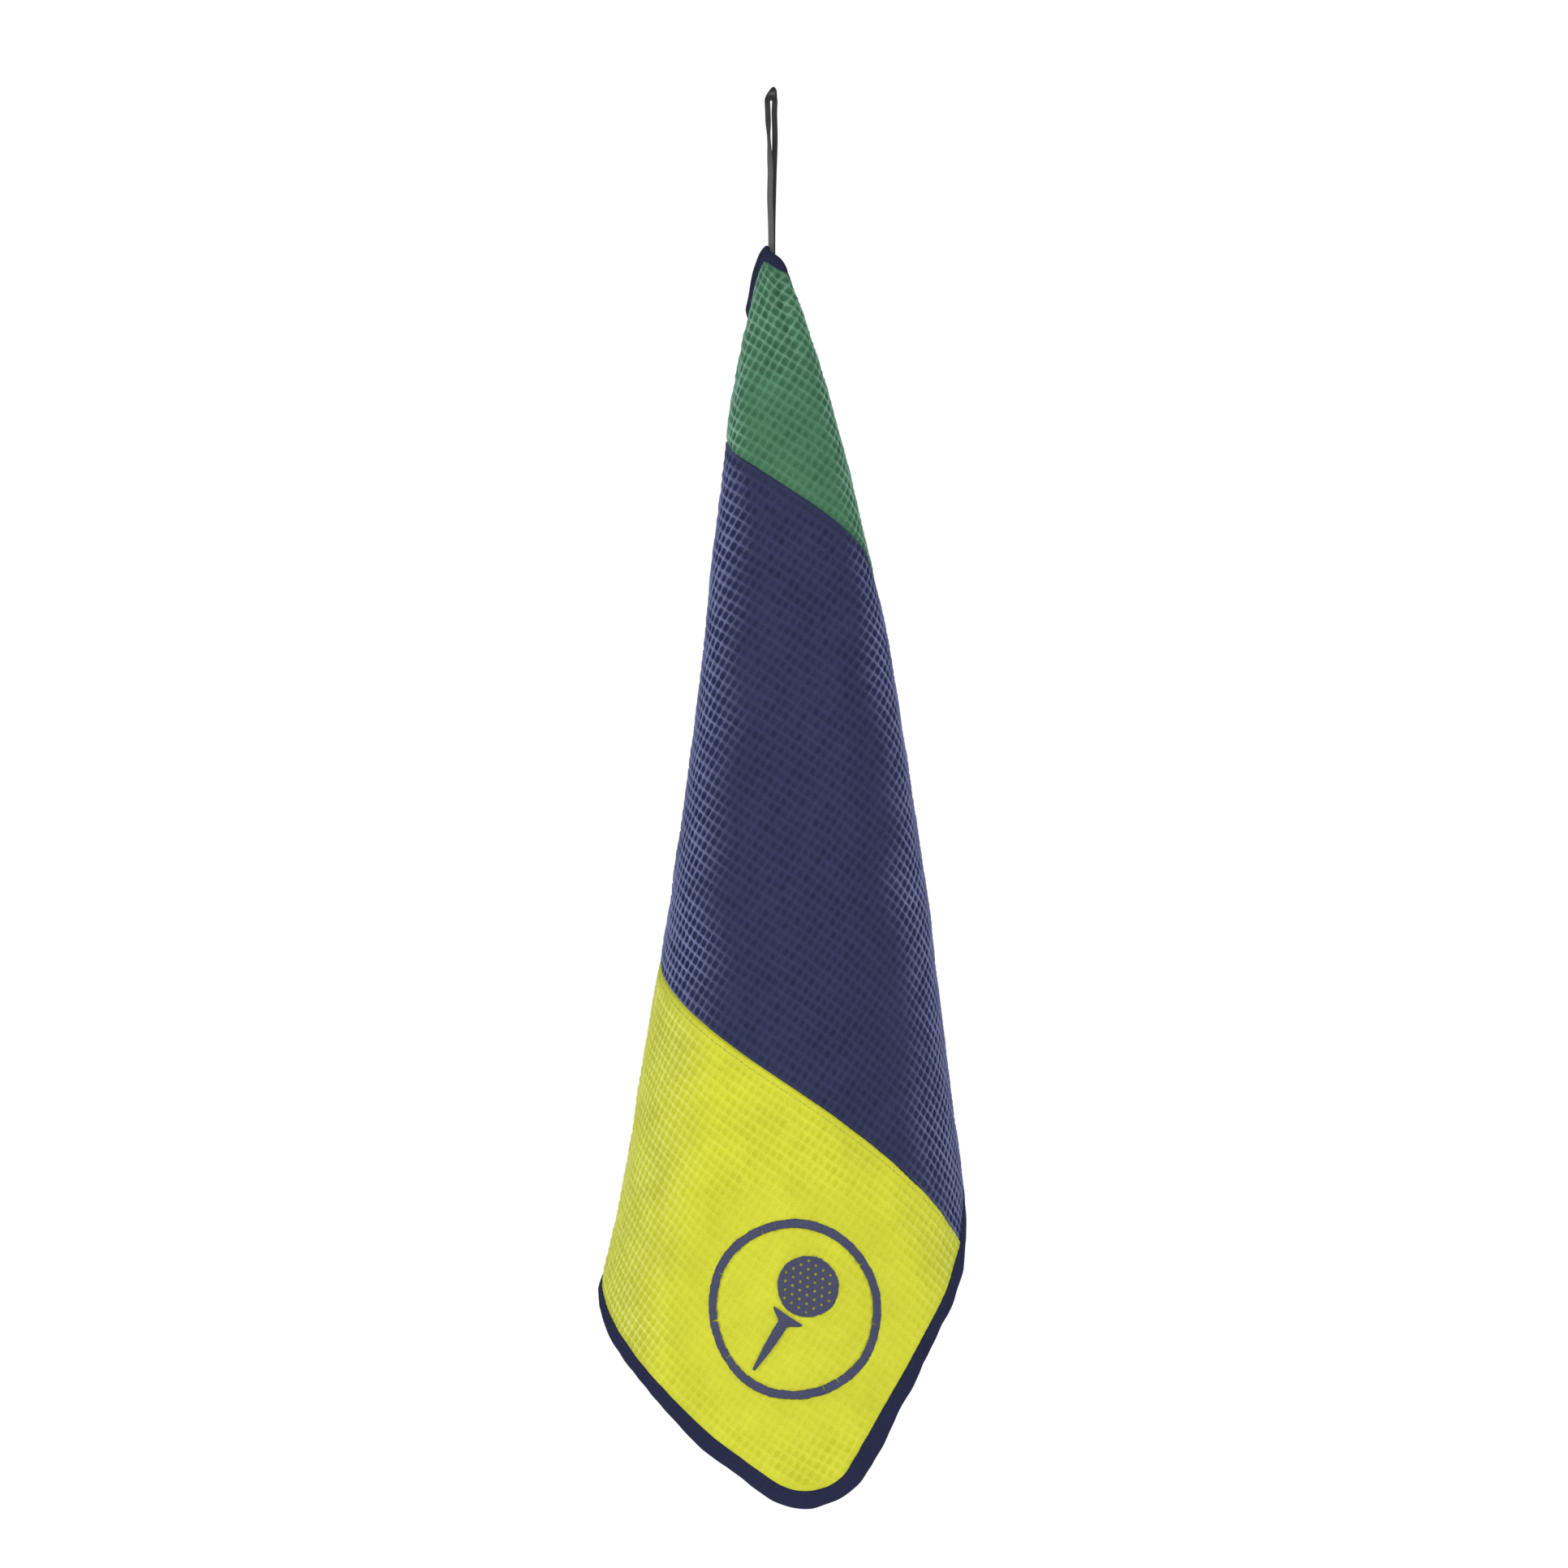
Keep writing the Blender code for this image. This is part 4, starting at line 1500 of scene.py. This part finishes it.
        piece = new_piece(mesh, NAVY_TAPE, "navy_tape", "edge_binding")
        thicken(piece, self.tape)
        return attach(piece, Body.TOWEL.value)

    def build_stitches(self, side: Side) -> bpy.types.Object:
        """Build the stitches on one face of the tape.

        Args:
            side: the face they lie on.

        Returns:
            The stitches.
        """
        inset = self.cut.binding_width - self.stitch_inset
        lift = self.cut.cloth_half + self.swell * self.stitch_share - self.stitch_sink

        def line(travel: np.ndarray) -> tuple:
            """Flat places and rise at distances round the rim."""
            across, along = self.flat_point(travel, np.full_like(travel, inset))
            return across, along, np.full_like(travel, lift * side.value)

        name = "binding_stitches_" + side.name.lower()
        mesh = StitchMaker(self.form).run(name, line, self.total)
        piece = new_piece(mesh, NAVY_THREAD, "navy_thread", "binding_stitching")
        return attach(piece, Body.TOWEL.value)

    def build(self) -> None:
        """Build the tape and its stitches."""
        self.build_tape()
        self.build_stitches(Side.FACE)
        self.build_stitches(Side.BACK)


@dataclass
class SeamStitching:
    """The thread that holds a seam's allowance down."""

    cut: ClothCut
    form: HangingForm
    lift: float = 0.00025

    def build(self, name: str, seam: float, thread: ThreadFinish, node: str) -> bpy.types.Object:
        """Build the stitches beside one seam.

        Args:
            name: the piece's name.
            seam: distance along to the seam.
            thread: the thread it is sewn with.
            node: the CAD node it stands for.

        Returns:
            The stitches.
        """
        edge = self.cut.binding_width

        def line(travel: np.ndarray) -> tuple:
            """Flat places and rise at distances along the seam."""
            along = np.full_like(travel, seam + self.cut.seam_stitch_inset)
            return edge + travel, along, np.full_like(travel, self.cut.cloth_half + self.lift)

        mesh = StitchMaker(self.form).run(name, line, self.cut.width - 2 * edge)
        piece = new_piece(mesh, thread, thread.name, node)
        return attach(piece, Body.TOWEL.value)


@dataclass
class Emblem:
    """A pressed emblem on the yellow panel: a golf ball on a tee in a ring."""

    cut: ClothCut
    form: HangingForm
    across: float = 0.3395
    along: float = 0.4955
    ring_radius: float = 0.0495
    ring_width: float = 0.0046
    ball_radius: float = 0.0170
    ball_shift: float = -0.0150
    dimple_pitch: float = 0.0047
    dimple_radius: float = 0.00085
    tee_gap: float = 0.0022
    tee_length: float = 0.036
    tee_cup_half: float = 0.0095
    tee_cup_length: float = 0.006
    tee_stem_half: float = 0.0030
    tee_tip_half: float = 0.0007
    film: float = 0.0004
    crown: float = 0.00025
    crown_span: float = 0.0009
    dent: Wave = Wave(0.00010, 0.0031, 0.0031)
    row_share: float = 0.866
    plain_rim: float = 0.0028
    ball_cells: int = 120
    snap_share: float = 0.6
    edge_pull: float = 0.0008
    pulls: float = 1.7
    pull_lane: float = 11
    edge_nick: float = 0.00022
    nicks: float = 22
    fine_nicks: float = 70
    ring_points: int = 520
    ring_rows: int = 9
    tee_rows: int = 110
    tee_points: int = 25
    crack_half: float = 0.0125
    crack_start: float = 0.3
    tee_waver: Wave = Wave(0.00012, 0.0012, 1.0)
    cracks: tuple = (0.42, 0.61, 1.93, 2.38, 2.97, 3.74, 5.12, 5.85)
    edge_noise: SoftNoise = field(default_factory=lambda: SoftNoise(67))

    def set_down(self, name: str, side: np.ndarray, down: np.ndarray, edge: np.ndarray, node: str,
                 ring: bool = False, holes: np.ndarray | None = None) -> bpy.types.Object:
        """Press a grid of film points onto the cloth.

        Args:
            name: the piece's name.
            side: places across from the emblem's middle.
            down: places along from the emblem's middle.
            edge: distance of each point from the film's edge.
            node: the CAD node it stands for.
            ring: whether the last row joins the first.
            holes: points that lie in a hole.

        Returns:
            The film.
        """
        crown = self.crown * ease(edge / self.crown_span)
        rise = self.cut.cloth_half + self.film + crown + self.dent.at(self.edge_noise, side, down)
        points = self.form.place(self.across + side, self.along + down, rise)
        mesh = grid_mesh(name, points, np.stack([side, down], axis=-1), ring)
        if holes is not None:
            self.cut_holes(mesh, holes)
        piece = new_piece(mesh, NAVY_FILM, "navy_film", node)
        thicken(piece, self.film)
        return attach(piece, Body.TOWEL.value)

    @staticmethod
    def cut_holes(mesh: bpy.types.Mesh, holes: np.ndarray) -> None:
        """Take away the faces whose corners all lie in a hole.

        Args:
            mesh: the film's mesh.
            holes: whether each of its points lies in a hole.
        """
        inside = holes.ravel()
        work = bmesh.new()
        work.from_mesh(mesh)
        work.verts.ensure_lookup_table()
        gone = [face for face in work.faces if all(inside[vert.index] for vert in face.verts)]
        bmesh.ops.delete(work, geom=gone, context="FACES")
        work.to_mesh(mesh)
        work.free()

    def ragged(self, turn: np.ndarray, lane: float) -> np.ndarray:
        """Small unevenness of a cut edge.

        Args:
            turn: angles round the emblem.
            lane: picks the part of the noise that it runs through.

        Returns:
            How far out the edge lies at each angle.
        """
        x, y = np.cos(turn), np.sin(turn)
        pulled = self.edge_noise.at(x * self.pulls + self.pull_lane, y * self.pulls + self.pull_lane)
        nicked = self.edge_noise.at(x * self.nicks + lane, y * self.nicks + lane)
        fine = self.edge_noise.at(x * self.fine_nicks + lane, y * self.fine_nicks)
        return self.edge_pull * pulled + self.edge_nick * nicked + self.edge_nick * fine

    def build_ring(self) -> bpy.types.Object:
        """Build the round border.

        Returns:
            The border.
        """
        turn = np.linspace(0.0, 2 * math.pi, self.ring_points, endpoint=False)[:, None]
        share = np.linspace(0.0, 1.0, self.ring_rows)[None, :]
        inner = self.ring_radius - self.ring_width + self.ragged(turn, 5.0)
        outer = self.ring_radius + self.ragged(turn, 60.0)
        radius = outer + (inner - outer) * share
        edge = np.minimum(share, 1 - share) * self.ring_width * np.ones_like(turn)
        away = np.abs(turn[..., None] - np.array(self.cracks)).min(axis=-1)
        holes = (away < self.crack_half) & (share > self.crack_start)
        return self.set_down("emblem_border", radius * np.cos(turn), radius * np.sin(turn), edge,
                             "emblem_ring", ring=True, holes=holes)

    def build_ball(self) -> bpy.types.Object:
        """Build the ball, with a hole in the film for each dimple.

        Returns:
            The ball.
        """
        step = np.linspace(-1.0, 1.0, self.ball_cells + 1)
        u, v = np.meshgrid(step, step)
        stretch = np.maximum(np.abs(u), np.abs(v)) / np.maximum(np.hypot(u, v), 1e-9)
        turn = np.arctan2(v, u)
        radius = self.ball_radius + self.ragged(turn, 100.0)
        side, down = u * stretch * radius, v * stretch * radius
        edge = radius - np.hypot(side, down)
        row_pitch = self.dimple_pitch * self.row_share
        row = np.round(down / row_pitch)
        offset = (row % 2) * self.dimple_pitch / 2
        column = np.round((side - offset) / self.dimple_pitch)
        middle_side, middle_down = column * self.dimple_pitch + offset, row * row_pitch
        away_side, away_down = side - middle_side, down - middle_down
        away = np.maximum(np.hypot(away_side, away_down), 1e-9)
        whole = np.hypot(middle_side, middle_down) < self.ball_radius - self.plain_rim
        snap = self.snap_share * self.ball_radius / (self.ball_cells / 2)
        near = whole & (np.abs(away - self.dimple_radius) < snap)
        pull = np.where(near, self.dimple_radius / away, 1.0)
        side, down = middle_side + away_side * pull, middle_down + away_down * pull
        inside = whole & (away < self.dimple_radius + snap)
        return self.set_down("emblem_golf_ball", side[:, ::-1], (down + self.ball_shift)[:, ::-1],
                             edge[:, ::-1], "emblem_ball", holes=inside[:, ::-1])

    def build_tee(self) -> bpy.types.Object:
        """Build the tee below the ball.

        Returns:
            The tee.
        """
        down = np.linspace(0.0, self.tee_length, self.tee_rows)[:, None]
        cup = ease(down / self.tee_cup_length)
        cup_half = self.tee_cup_half + (self.tee_stem_half - self.tee_cup_half) * cup
        stem = np.clip((down - self.tee_cup_length) / (self.tee_length - self.tee_cup_length), 0, 1)
        stem_half = self.tee_stem_half + (self.tee_tip_half - self.tee_stem_half) * stem**2
        half = np.where(down < self.tee_cup_length, cup_half, stem_half)
        half = half + self.tee_waver.at(self.edge_noise, down, np.full_like(down, 3.3))
        share = np.linspace(1.0, -1.0, self.tee_points)[None, :]
        side = share * half
        top = self.ball_shift + self.ball_radius + self.tee_gap
        down_all = np.broadcast_to(top + down, side.shape)
        edge = (1 - np.abs(share)) * half
        return self.set_down("emblem_golf_tee", side, down_all, edge, "emblem_tee")

    def build(self) -> None:
        """Build the border, the ball and the tee."""
        self.build_ring()
        self.build_ball()
        self.build_tee()


@dataclass
class HangingLoop:
    """The tape loop: folded to a point at the top, both ends sewn in below."""

    tape_half: float = 0.00155
    thick_half: float = 0.0005
    eye_half: float = 0.0005
    eye_drop: float = 0.0014
    tip_rise: float = 0.0067
    slit_half: float = 0.00025
    stack_half: float = 0.0007
    stack_start: float = -0.017
    stack_end: float = -0.032
    join_start: float = -0.022
    neck: float = -0.0068
    hinge: float = -0.0789
    sewn_length: float = 0.014
    tip_lean: float = 0.0013
    left_turn: float = math.radians(62)
    left_shift: float = 0.0011
    left_shift_start: float = -0.004
    left_shift_span: float = 0.024
    left_shift_end: float = -0.036
    left_shift_fade: float = 0.022
    right_turn: float = 0.10
    part_span: float = 0.014
    part_fade: float = 0.020
    part_width: float = 0.0003
    low_spread: float = 0.0004
    low_shift: float = 0.0004
    strand_stops: int = 110
    fold_stops: int = 41
    stop_pitch: float = 0.0009
    side_power: float = 0.35
    rise_power: float = 0.55
    section_points: int = 24
    # Painted light on the loop's tape: a little on the left strand near the fold, full lower down, least on
    # the fold and the right strand.
    fold_painted_light: float = 0.25
    least_painted_light: float = 0.10
    painted_light_start: float = -0.010
    painted_light_span: float = 0.022
    bend_half: float = 0.004
    tack_bars: int = 11
    tack_width: float = 0.0030
    tack_shift: float = 0.0005
    tack_slant: float = 0.00018
    tack_middle: float = 0.0030
    tack_height: float = 0.0028
    tack_arch: float = 0.00012
    tack_sink: float = 0.00002
    tack_rings: int = 7
    tack_around: int = 6
    thread_radius: float = 0.00017
    thread_end: float = 0.4

    def strand(self, z: np.ndarray, side: float) -> tuple:
        """Middle, turn and depth of one strand.

        Args:
            z: heights below the eye.
            side: -1 for the left strand and 1 for the right one.

        Returns:
            Sideways place, turn about the upright and depth.
        """
        low = ease((self.join_start - z) / (self.join_start - self.hinge))
        apart = (self.tape_half + self.slit_half) * (1 - low)
        joined = ease((self.join_start - z) / self.part_fade)
        part = ease((self.neck - z) / self.part_span) * (1 - joined)
        x = side * (apart + self.part_width * part + self.low_spread * low) + self.low_shift * low
        if side < 0:
            ended = ease((self.left_shift_end - z) / self.left_shift_fade)
            x = x + self.left_shift * ease((self.left_shift_start - z) / self.left_shift_span) * (1 - ended)
        stack = self.stack_half * ease((self.stack_start - z) / (self.stack_start - self.stack_end))
        turn = (self.left_turn if side < 0 else self.right_turn) * part
        return x, turn * np.ones_like(z), side * stack

    def stops(self) -> np.ndarray:
        """Stops along the tape, from one sewn end round the fold to the other.

        Returns:
            A row a stop: middle, outward direction and turn.
        """
        low = self.hinge - self.sewn_length
        heights = np.linspace(low, self.neck, self.strand_stops)
        left_x, left_turn, left_depth = self.strand(heights, -1.0)
        right_x, right_turn, right_depth = self.strand(heights, 1.0)
        one = np.ones_like(heights)
        left = np.stack([left_x, left_depth, heights, -one, 0 * one, left_turn], axis=-1)
        right = np.stack([right_x, right_depth, heights, one, 0 * one, right_turn], axis=-1)
        middle = self.eye_half + self.tape_half
        angle = np.linspace(0.0, math.pi, self.fold_stops)[1:-1]
        bend = np.stack([-middle * np.cos(angle), 0 * angle, middle * np.sin(angle) - self.eye_drop,
                         -np.cos(angle), np.sin(angle), 0 * angle], axis=-1)
        return np.concatenate([left, bend, right[::-1]])

    def painted_light(self) -> np.ndarray:
        """Painted light on the tape: the lower left strand lightest, as if lit, the fold and the right strand
        darkest, as if in shade.

        Returns:
            The painted light at each stop, from 0 to 1.
        """
        stops = self.stops()
        left = (stops[:, 3] < 0) & (stops[:, 4] == 0)
        down = ease((self.painted_light_start - stops[:, 2]) / self.painted_light_span)
        return np.where(left, self.fold_painted_light + (1 - self.fold_painted_light) * down, self.least_painted_light)

    def section(self) -> np.ndarray:
        """Outline of the tape, with round edges.

        Returns:
            Side and rise from -1 to 1, a row a point.
        """
        turn = np.linspace(0.0, 2 * math.pi, self.section_points, endpoint=False)
        side = np.sign(np.cos(turn)) * np.abs(np.cos(turn)) ** self.side_power
        rise = np.sign(np.sin(turn)) * np.abs(np.sin(turn)) ** self.rise_power
        return np.stack([side, rise], axis=-1)

    def points(self) -> np.ndarray:
        """Points of the whole tape.

        Returns:
            Stops by section points by 3.
        """
        stops, section = self.stops()[:, None], self.section()[None]
        centre, out, turn = stops[..., :3], stops[..., 3:5], stops[..., 5]
        side = section[..., 0] * self.tape_half
        rise = section[..., 1] * self.thick_half
        flat_side = side * np.cos(turn) - rise * np.sin(turn)
        depth = side * np.sin(turn) + rise * np.cos(turn)
        x = centre[..., 0] + out[..., 0] * flat_side
        z = centre[..., 2] + out[..., 1] * flat_side
        point = self.tip_rise - (self.eye_half + 2 * self.tape_half - self.eye_drop)
        outer = np.clip((section[..., 0] + 1) / 2, 0.0, 1.0)
        z = z + point * outer * np.maximum(out[..., 1], 0.0) ** 2
        x = x + self.tip_lean * ease(z / self.tip_rise)
        return np.stack([x, centre[..., 1] - depth, z], axis=-1)

    def build_tape(self) -> bpy.types.Object:
        """Build the tape from one sewn end round the fold to the other.

        Returns:
            The tape.
        """
        points = self.points()
        mesh = tube_mesh("loop_tape", points[None], self.stop_pitch)
        # Painted light: how much of the lit grey each stop of the black tape gets.
        set_values(mesh, PAINTED_LIGHT, np.broadcast_to(self.painted_light()[:, None], points.shape[:2]))
        piece = new_piece(mesh, BLACK_TAPE, "black_tape", "hanging_loop", "loop_sewn_end")
        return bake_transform(piece)

    def build_tack(self) -> bpy.types.Object:
        """Build the close zigzag of grey thread that holds the fold.

        Returns:
            The bar tack.
        """
        share = np.linspace(-0.5, 0.5, self.tack_rings)[:, None]
        turn = np.linspace(0.0, 2 * math.pi, self.tack_around, endpoint=False)[None]
        arch = 1 - (2 * share) ** 4
        radius = self.thread_radius * (self.thread_end + (1 - self.thread_end) * arch)
        z = self.tack_middle + share * self.tack_height + 0 * turn
        tubes = []
        for side in (Side.BACK, Side.FACE):
            lift = self.thick_half + self.tack_arch * arch - self.tack_sink
            y = side.value * lift - radius * np.sin(turn)
            for bar in range(self.tack_bars):
                across = (bar / (self.tack_bars - 1) - 0.5) * self.tack_width + self.tack_shift
                slant = self.tack_slant * (-1) ** bar
                x = across + slant * 2 * share + radius * np.cos(turn)
                tubes.append(np.stack([x, y, z], axis=-1))
        mesh = tube_mesh("loop_bar_tack", np.array(tubes))
        piece = new_piece(mesh, GREY_THREAD, "grey_thread", "loop_fold_stitching")
        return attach(piece, Body.LOOP.value)

    def build(self) -> None:
        """Build the tape and its bar tack."""
        self.build_tape()
        self.build_tack()


# ------------------------------------------------------------------ studio
@dataclass(frozen=True)
class SoftBox:
    """A soft light: its place from the aim, its width and height, and its watts."""

    name: str
    place: tuple
    size: tuple
    power: float


@dataclass
class Studio:
    """A plain pale floor, soft lights and a long lens in front of the towel."""

    aim_side: float = 0.0071
    aim_lift: float = 0.0063
    field_width: float = 0.861
    distance: float = 10.0
    floor_drop: float = 0.62
    floor_radius: float = 2.4
    floor_hole: float = 0.01
    floor_points: int = 96
    floor_rings: int = 12
    surround_glow: float = 0.14
    view_end: float = 50.0
    boxes: tuple = (SoftBox("left_box", (-2.0, -0.8, 0.5), (0.35, 1.2), 20.0),
                    SoftBox("right_box", (2.0, -0.9, 0.5), (0.35, 1.2), 16.0),
                    SoftBox("front_left_box", (-0.7, -3.2, 0.6), (0.5, 0.6), 26.0),
                    SoftBox("front_right_box", (0.9, -3.1, 0.9), (0.5, 0.6), 20.0),
                    SoftBox("back_box", (0.4, 3.0, 1.2), (1.2, 1.2), 34.0))

    def __post_init__(self) -> None:
        """Aim near the middle of the towel and its loop."""
        low, high = CAD_BOX
        self.aim = Vector((self.aim_side, 0.0, (low.z + high.z) / 2 + self.aim_lift))

    def build_floor(self) -> None:
        """Build the floor as a round pale disc well below the towel."""
        turn = np.linspace(0.0, 2 * math.pi, self.floor_points, endpoint=False)[:, None]
        radius = np.linspace(self.floor_radius, self.floor_hole, self.floor_rings)[None, :]
        x, y = radius * np.cos(turn), radius * np.sin(turn)
        z = np.full(x.shape, self.aim.z - self.floor_drop)
        mesh = grid_mesh("studio_floor", np.stack([x, y, z], axis=-1), np.stack([x, y], axis=-1), True)
        floor = bpy.data.objects.new("studio_floor", mesh)
        bpy.context.scene.collection.objects.link(floor)
        mesh.materials.append(STUDIO_WHITE.material())

    def add_light(self, box: SoftBox) -> None:
        """Add a soft box that faces the towel.

        Args:
            box: the soft box.
        """
        data = bpy.data.lights.new(box.name, "AREA")
        data.shape = "RECTANGLE"
        data.size, data.size_y = box.size
        data.energy = box.power
        light = bpy.data.objects.new(box.name, data)
        light.location = self.aim + Vector(box.place)
        light.rotation_mode = "QUATERNION"
        light.rotation_quaternion = (-Vector(box.place)).to_track_quat("-Z", "Y")
        bpy.context.scene.collection.objects.link(light)

    def build_lights(self) -> None:
        """Add the soft boxes and the pale surroundings."""
        for box in self.boxes:
            self.add_light(box)
        world = bpy.data.worlds.new("studio_air")
        world.use_nodes = True
        tree = world.node_tree
        air = tree.nodes["Background"]
        air.inputs["Color"].default_value = (1.0, 1.0, 1.0, 1.0)
        seen = tree.nodes.new("ShaderNodeLightPath").outputs["Is Camera Ray"]
        level = tree.nodes.new("ShaderNodeMapRange")
        level.inputs["To Min"].default_value = self.surround_glow
        level.inputs["To Max"].default_value = 1.0
        tree.links.new(seen, level.inputs["Value"])
        tree.links.new(level.outputs[0], air.inputs["Strength"])
        bpy.context.scene.world = world

    def build_camera(self) -> None:
        """Add the long-lens camera, level with the middle of the towel."""
        data = bpy.data.cameras.new("front_camera")
        data.lens = data.sensor_width * self.distance / self.field_width
        data.clip_end = self.view_end
        camera = bpy.data.objects.new("front_camera", data)
        camera.location = self.aim + Vector((0.0, -self.distance, 0.0))
        camera.rotation_euler = (math.pi / 2, 0.0, 0.0)
        bpy.context.scene.collection.objects.link(camera)
        bpy.context.scene.camera = camera

    def build(self) -> None:
        """Build the floor, the lights and the camera."""
        self.build_floor()
        self.build_lights()
        self.build_camera()
        bpy.context.scene.view_settings.view_transform = "Standard"


def main() -> None:
    """Build the towel's pieces in order, then the studio."""
    logging.basicConfig(level=logging.INFO, format="%(message)s")
    cut = ClothCut()
    form = HangingForm(cut)
    WafflePanels(cut, form, WaffleWeave(cut)).build()
    EdgeBinding(cut, form).build()
    seams = SeamStitching(cut, form)
    seams.build("upper_seam_stitches", cut.upper_seam, NAVY_THREAD, "upper_seam_stitching")
    seams.build("lower_seam_stitches", cut.lower_seam, YELLOW_THREAD, "lower_seam_stitching")
    Emblem(cut, form).build()
    HangingLoop().build()
    Studio().build()


if __name__ == "__main__":
    main()
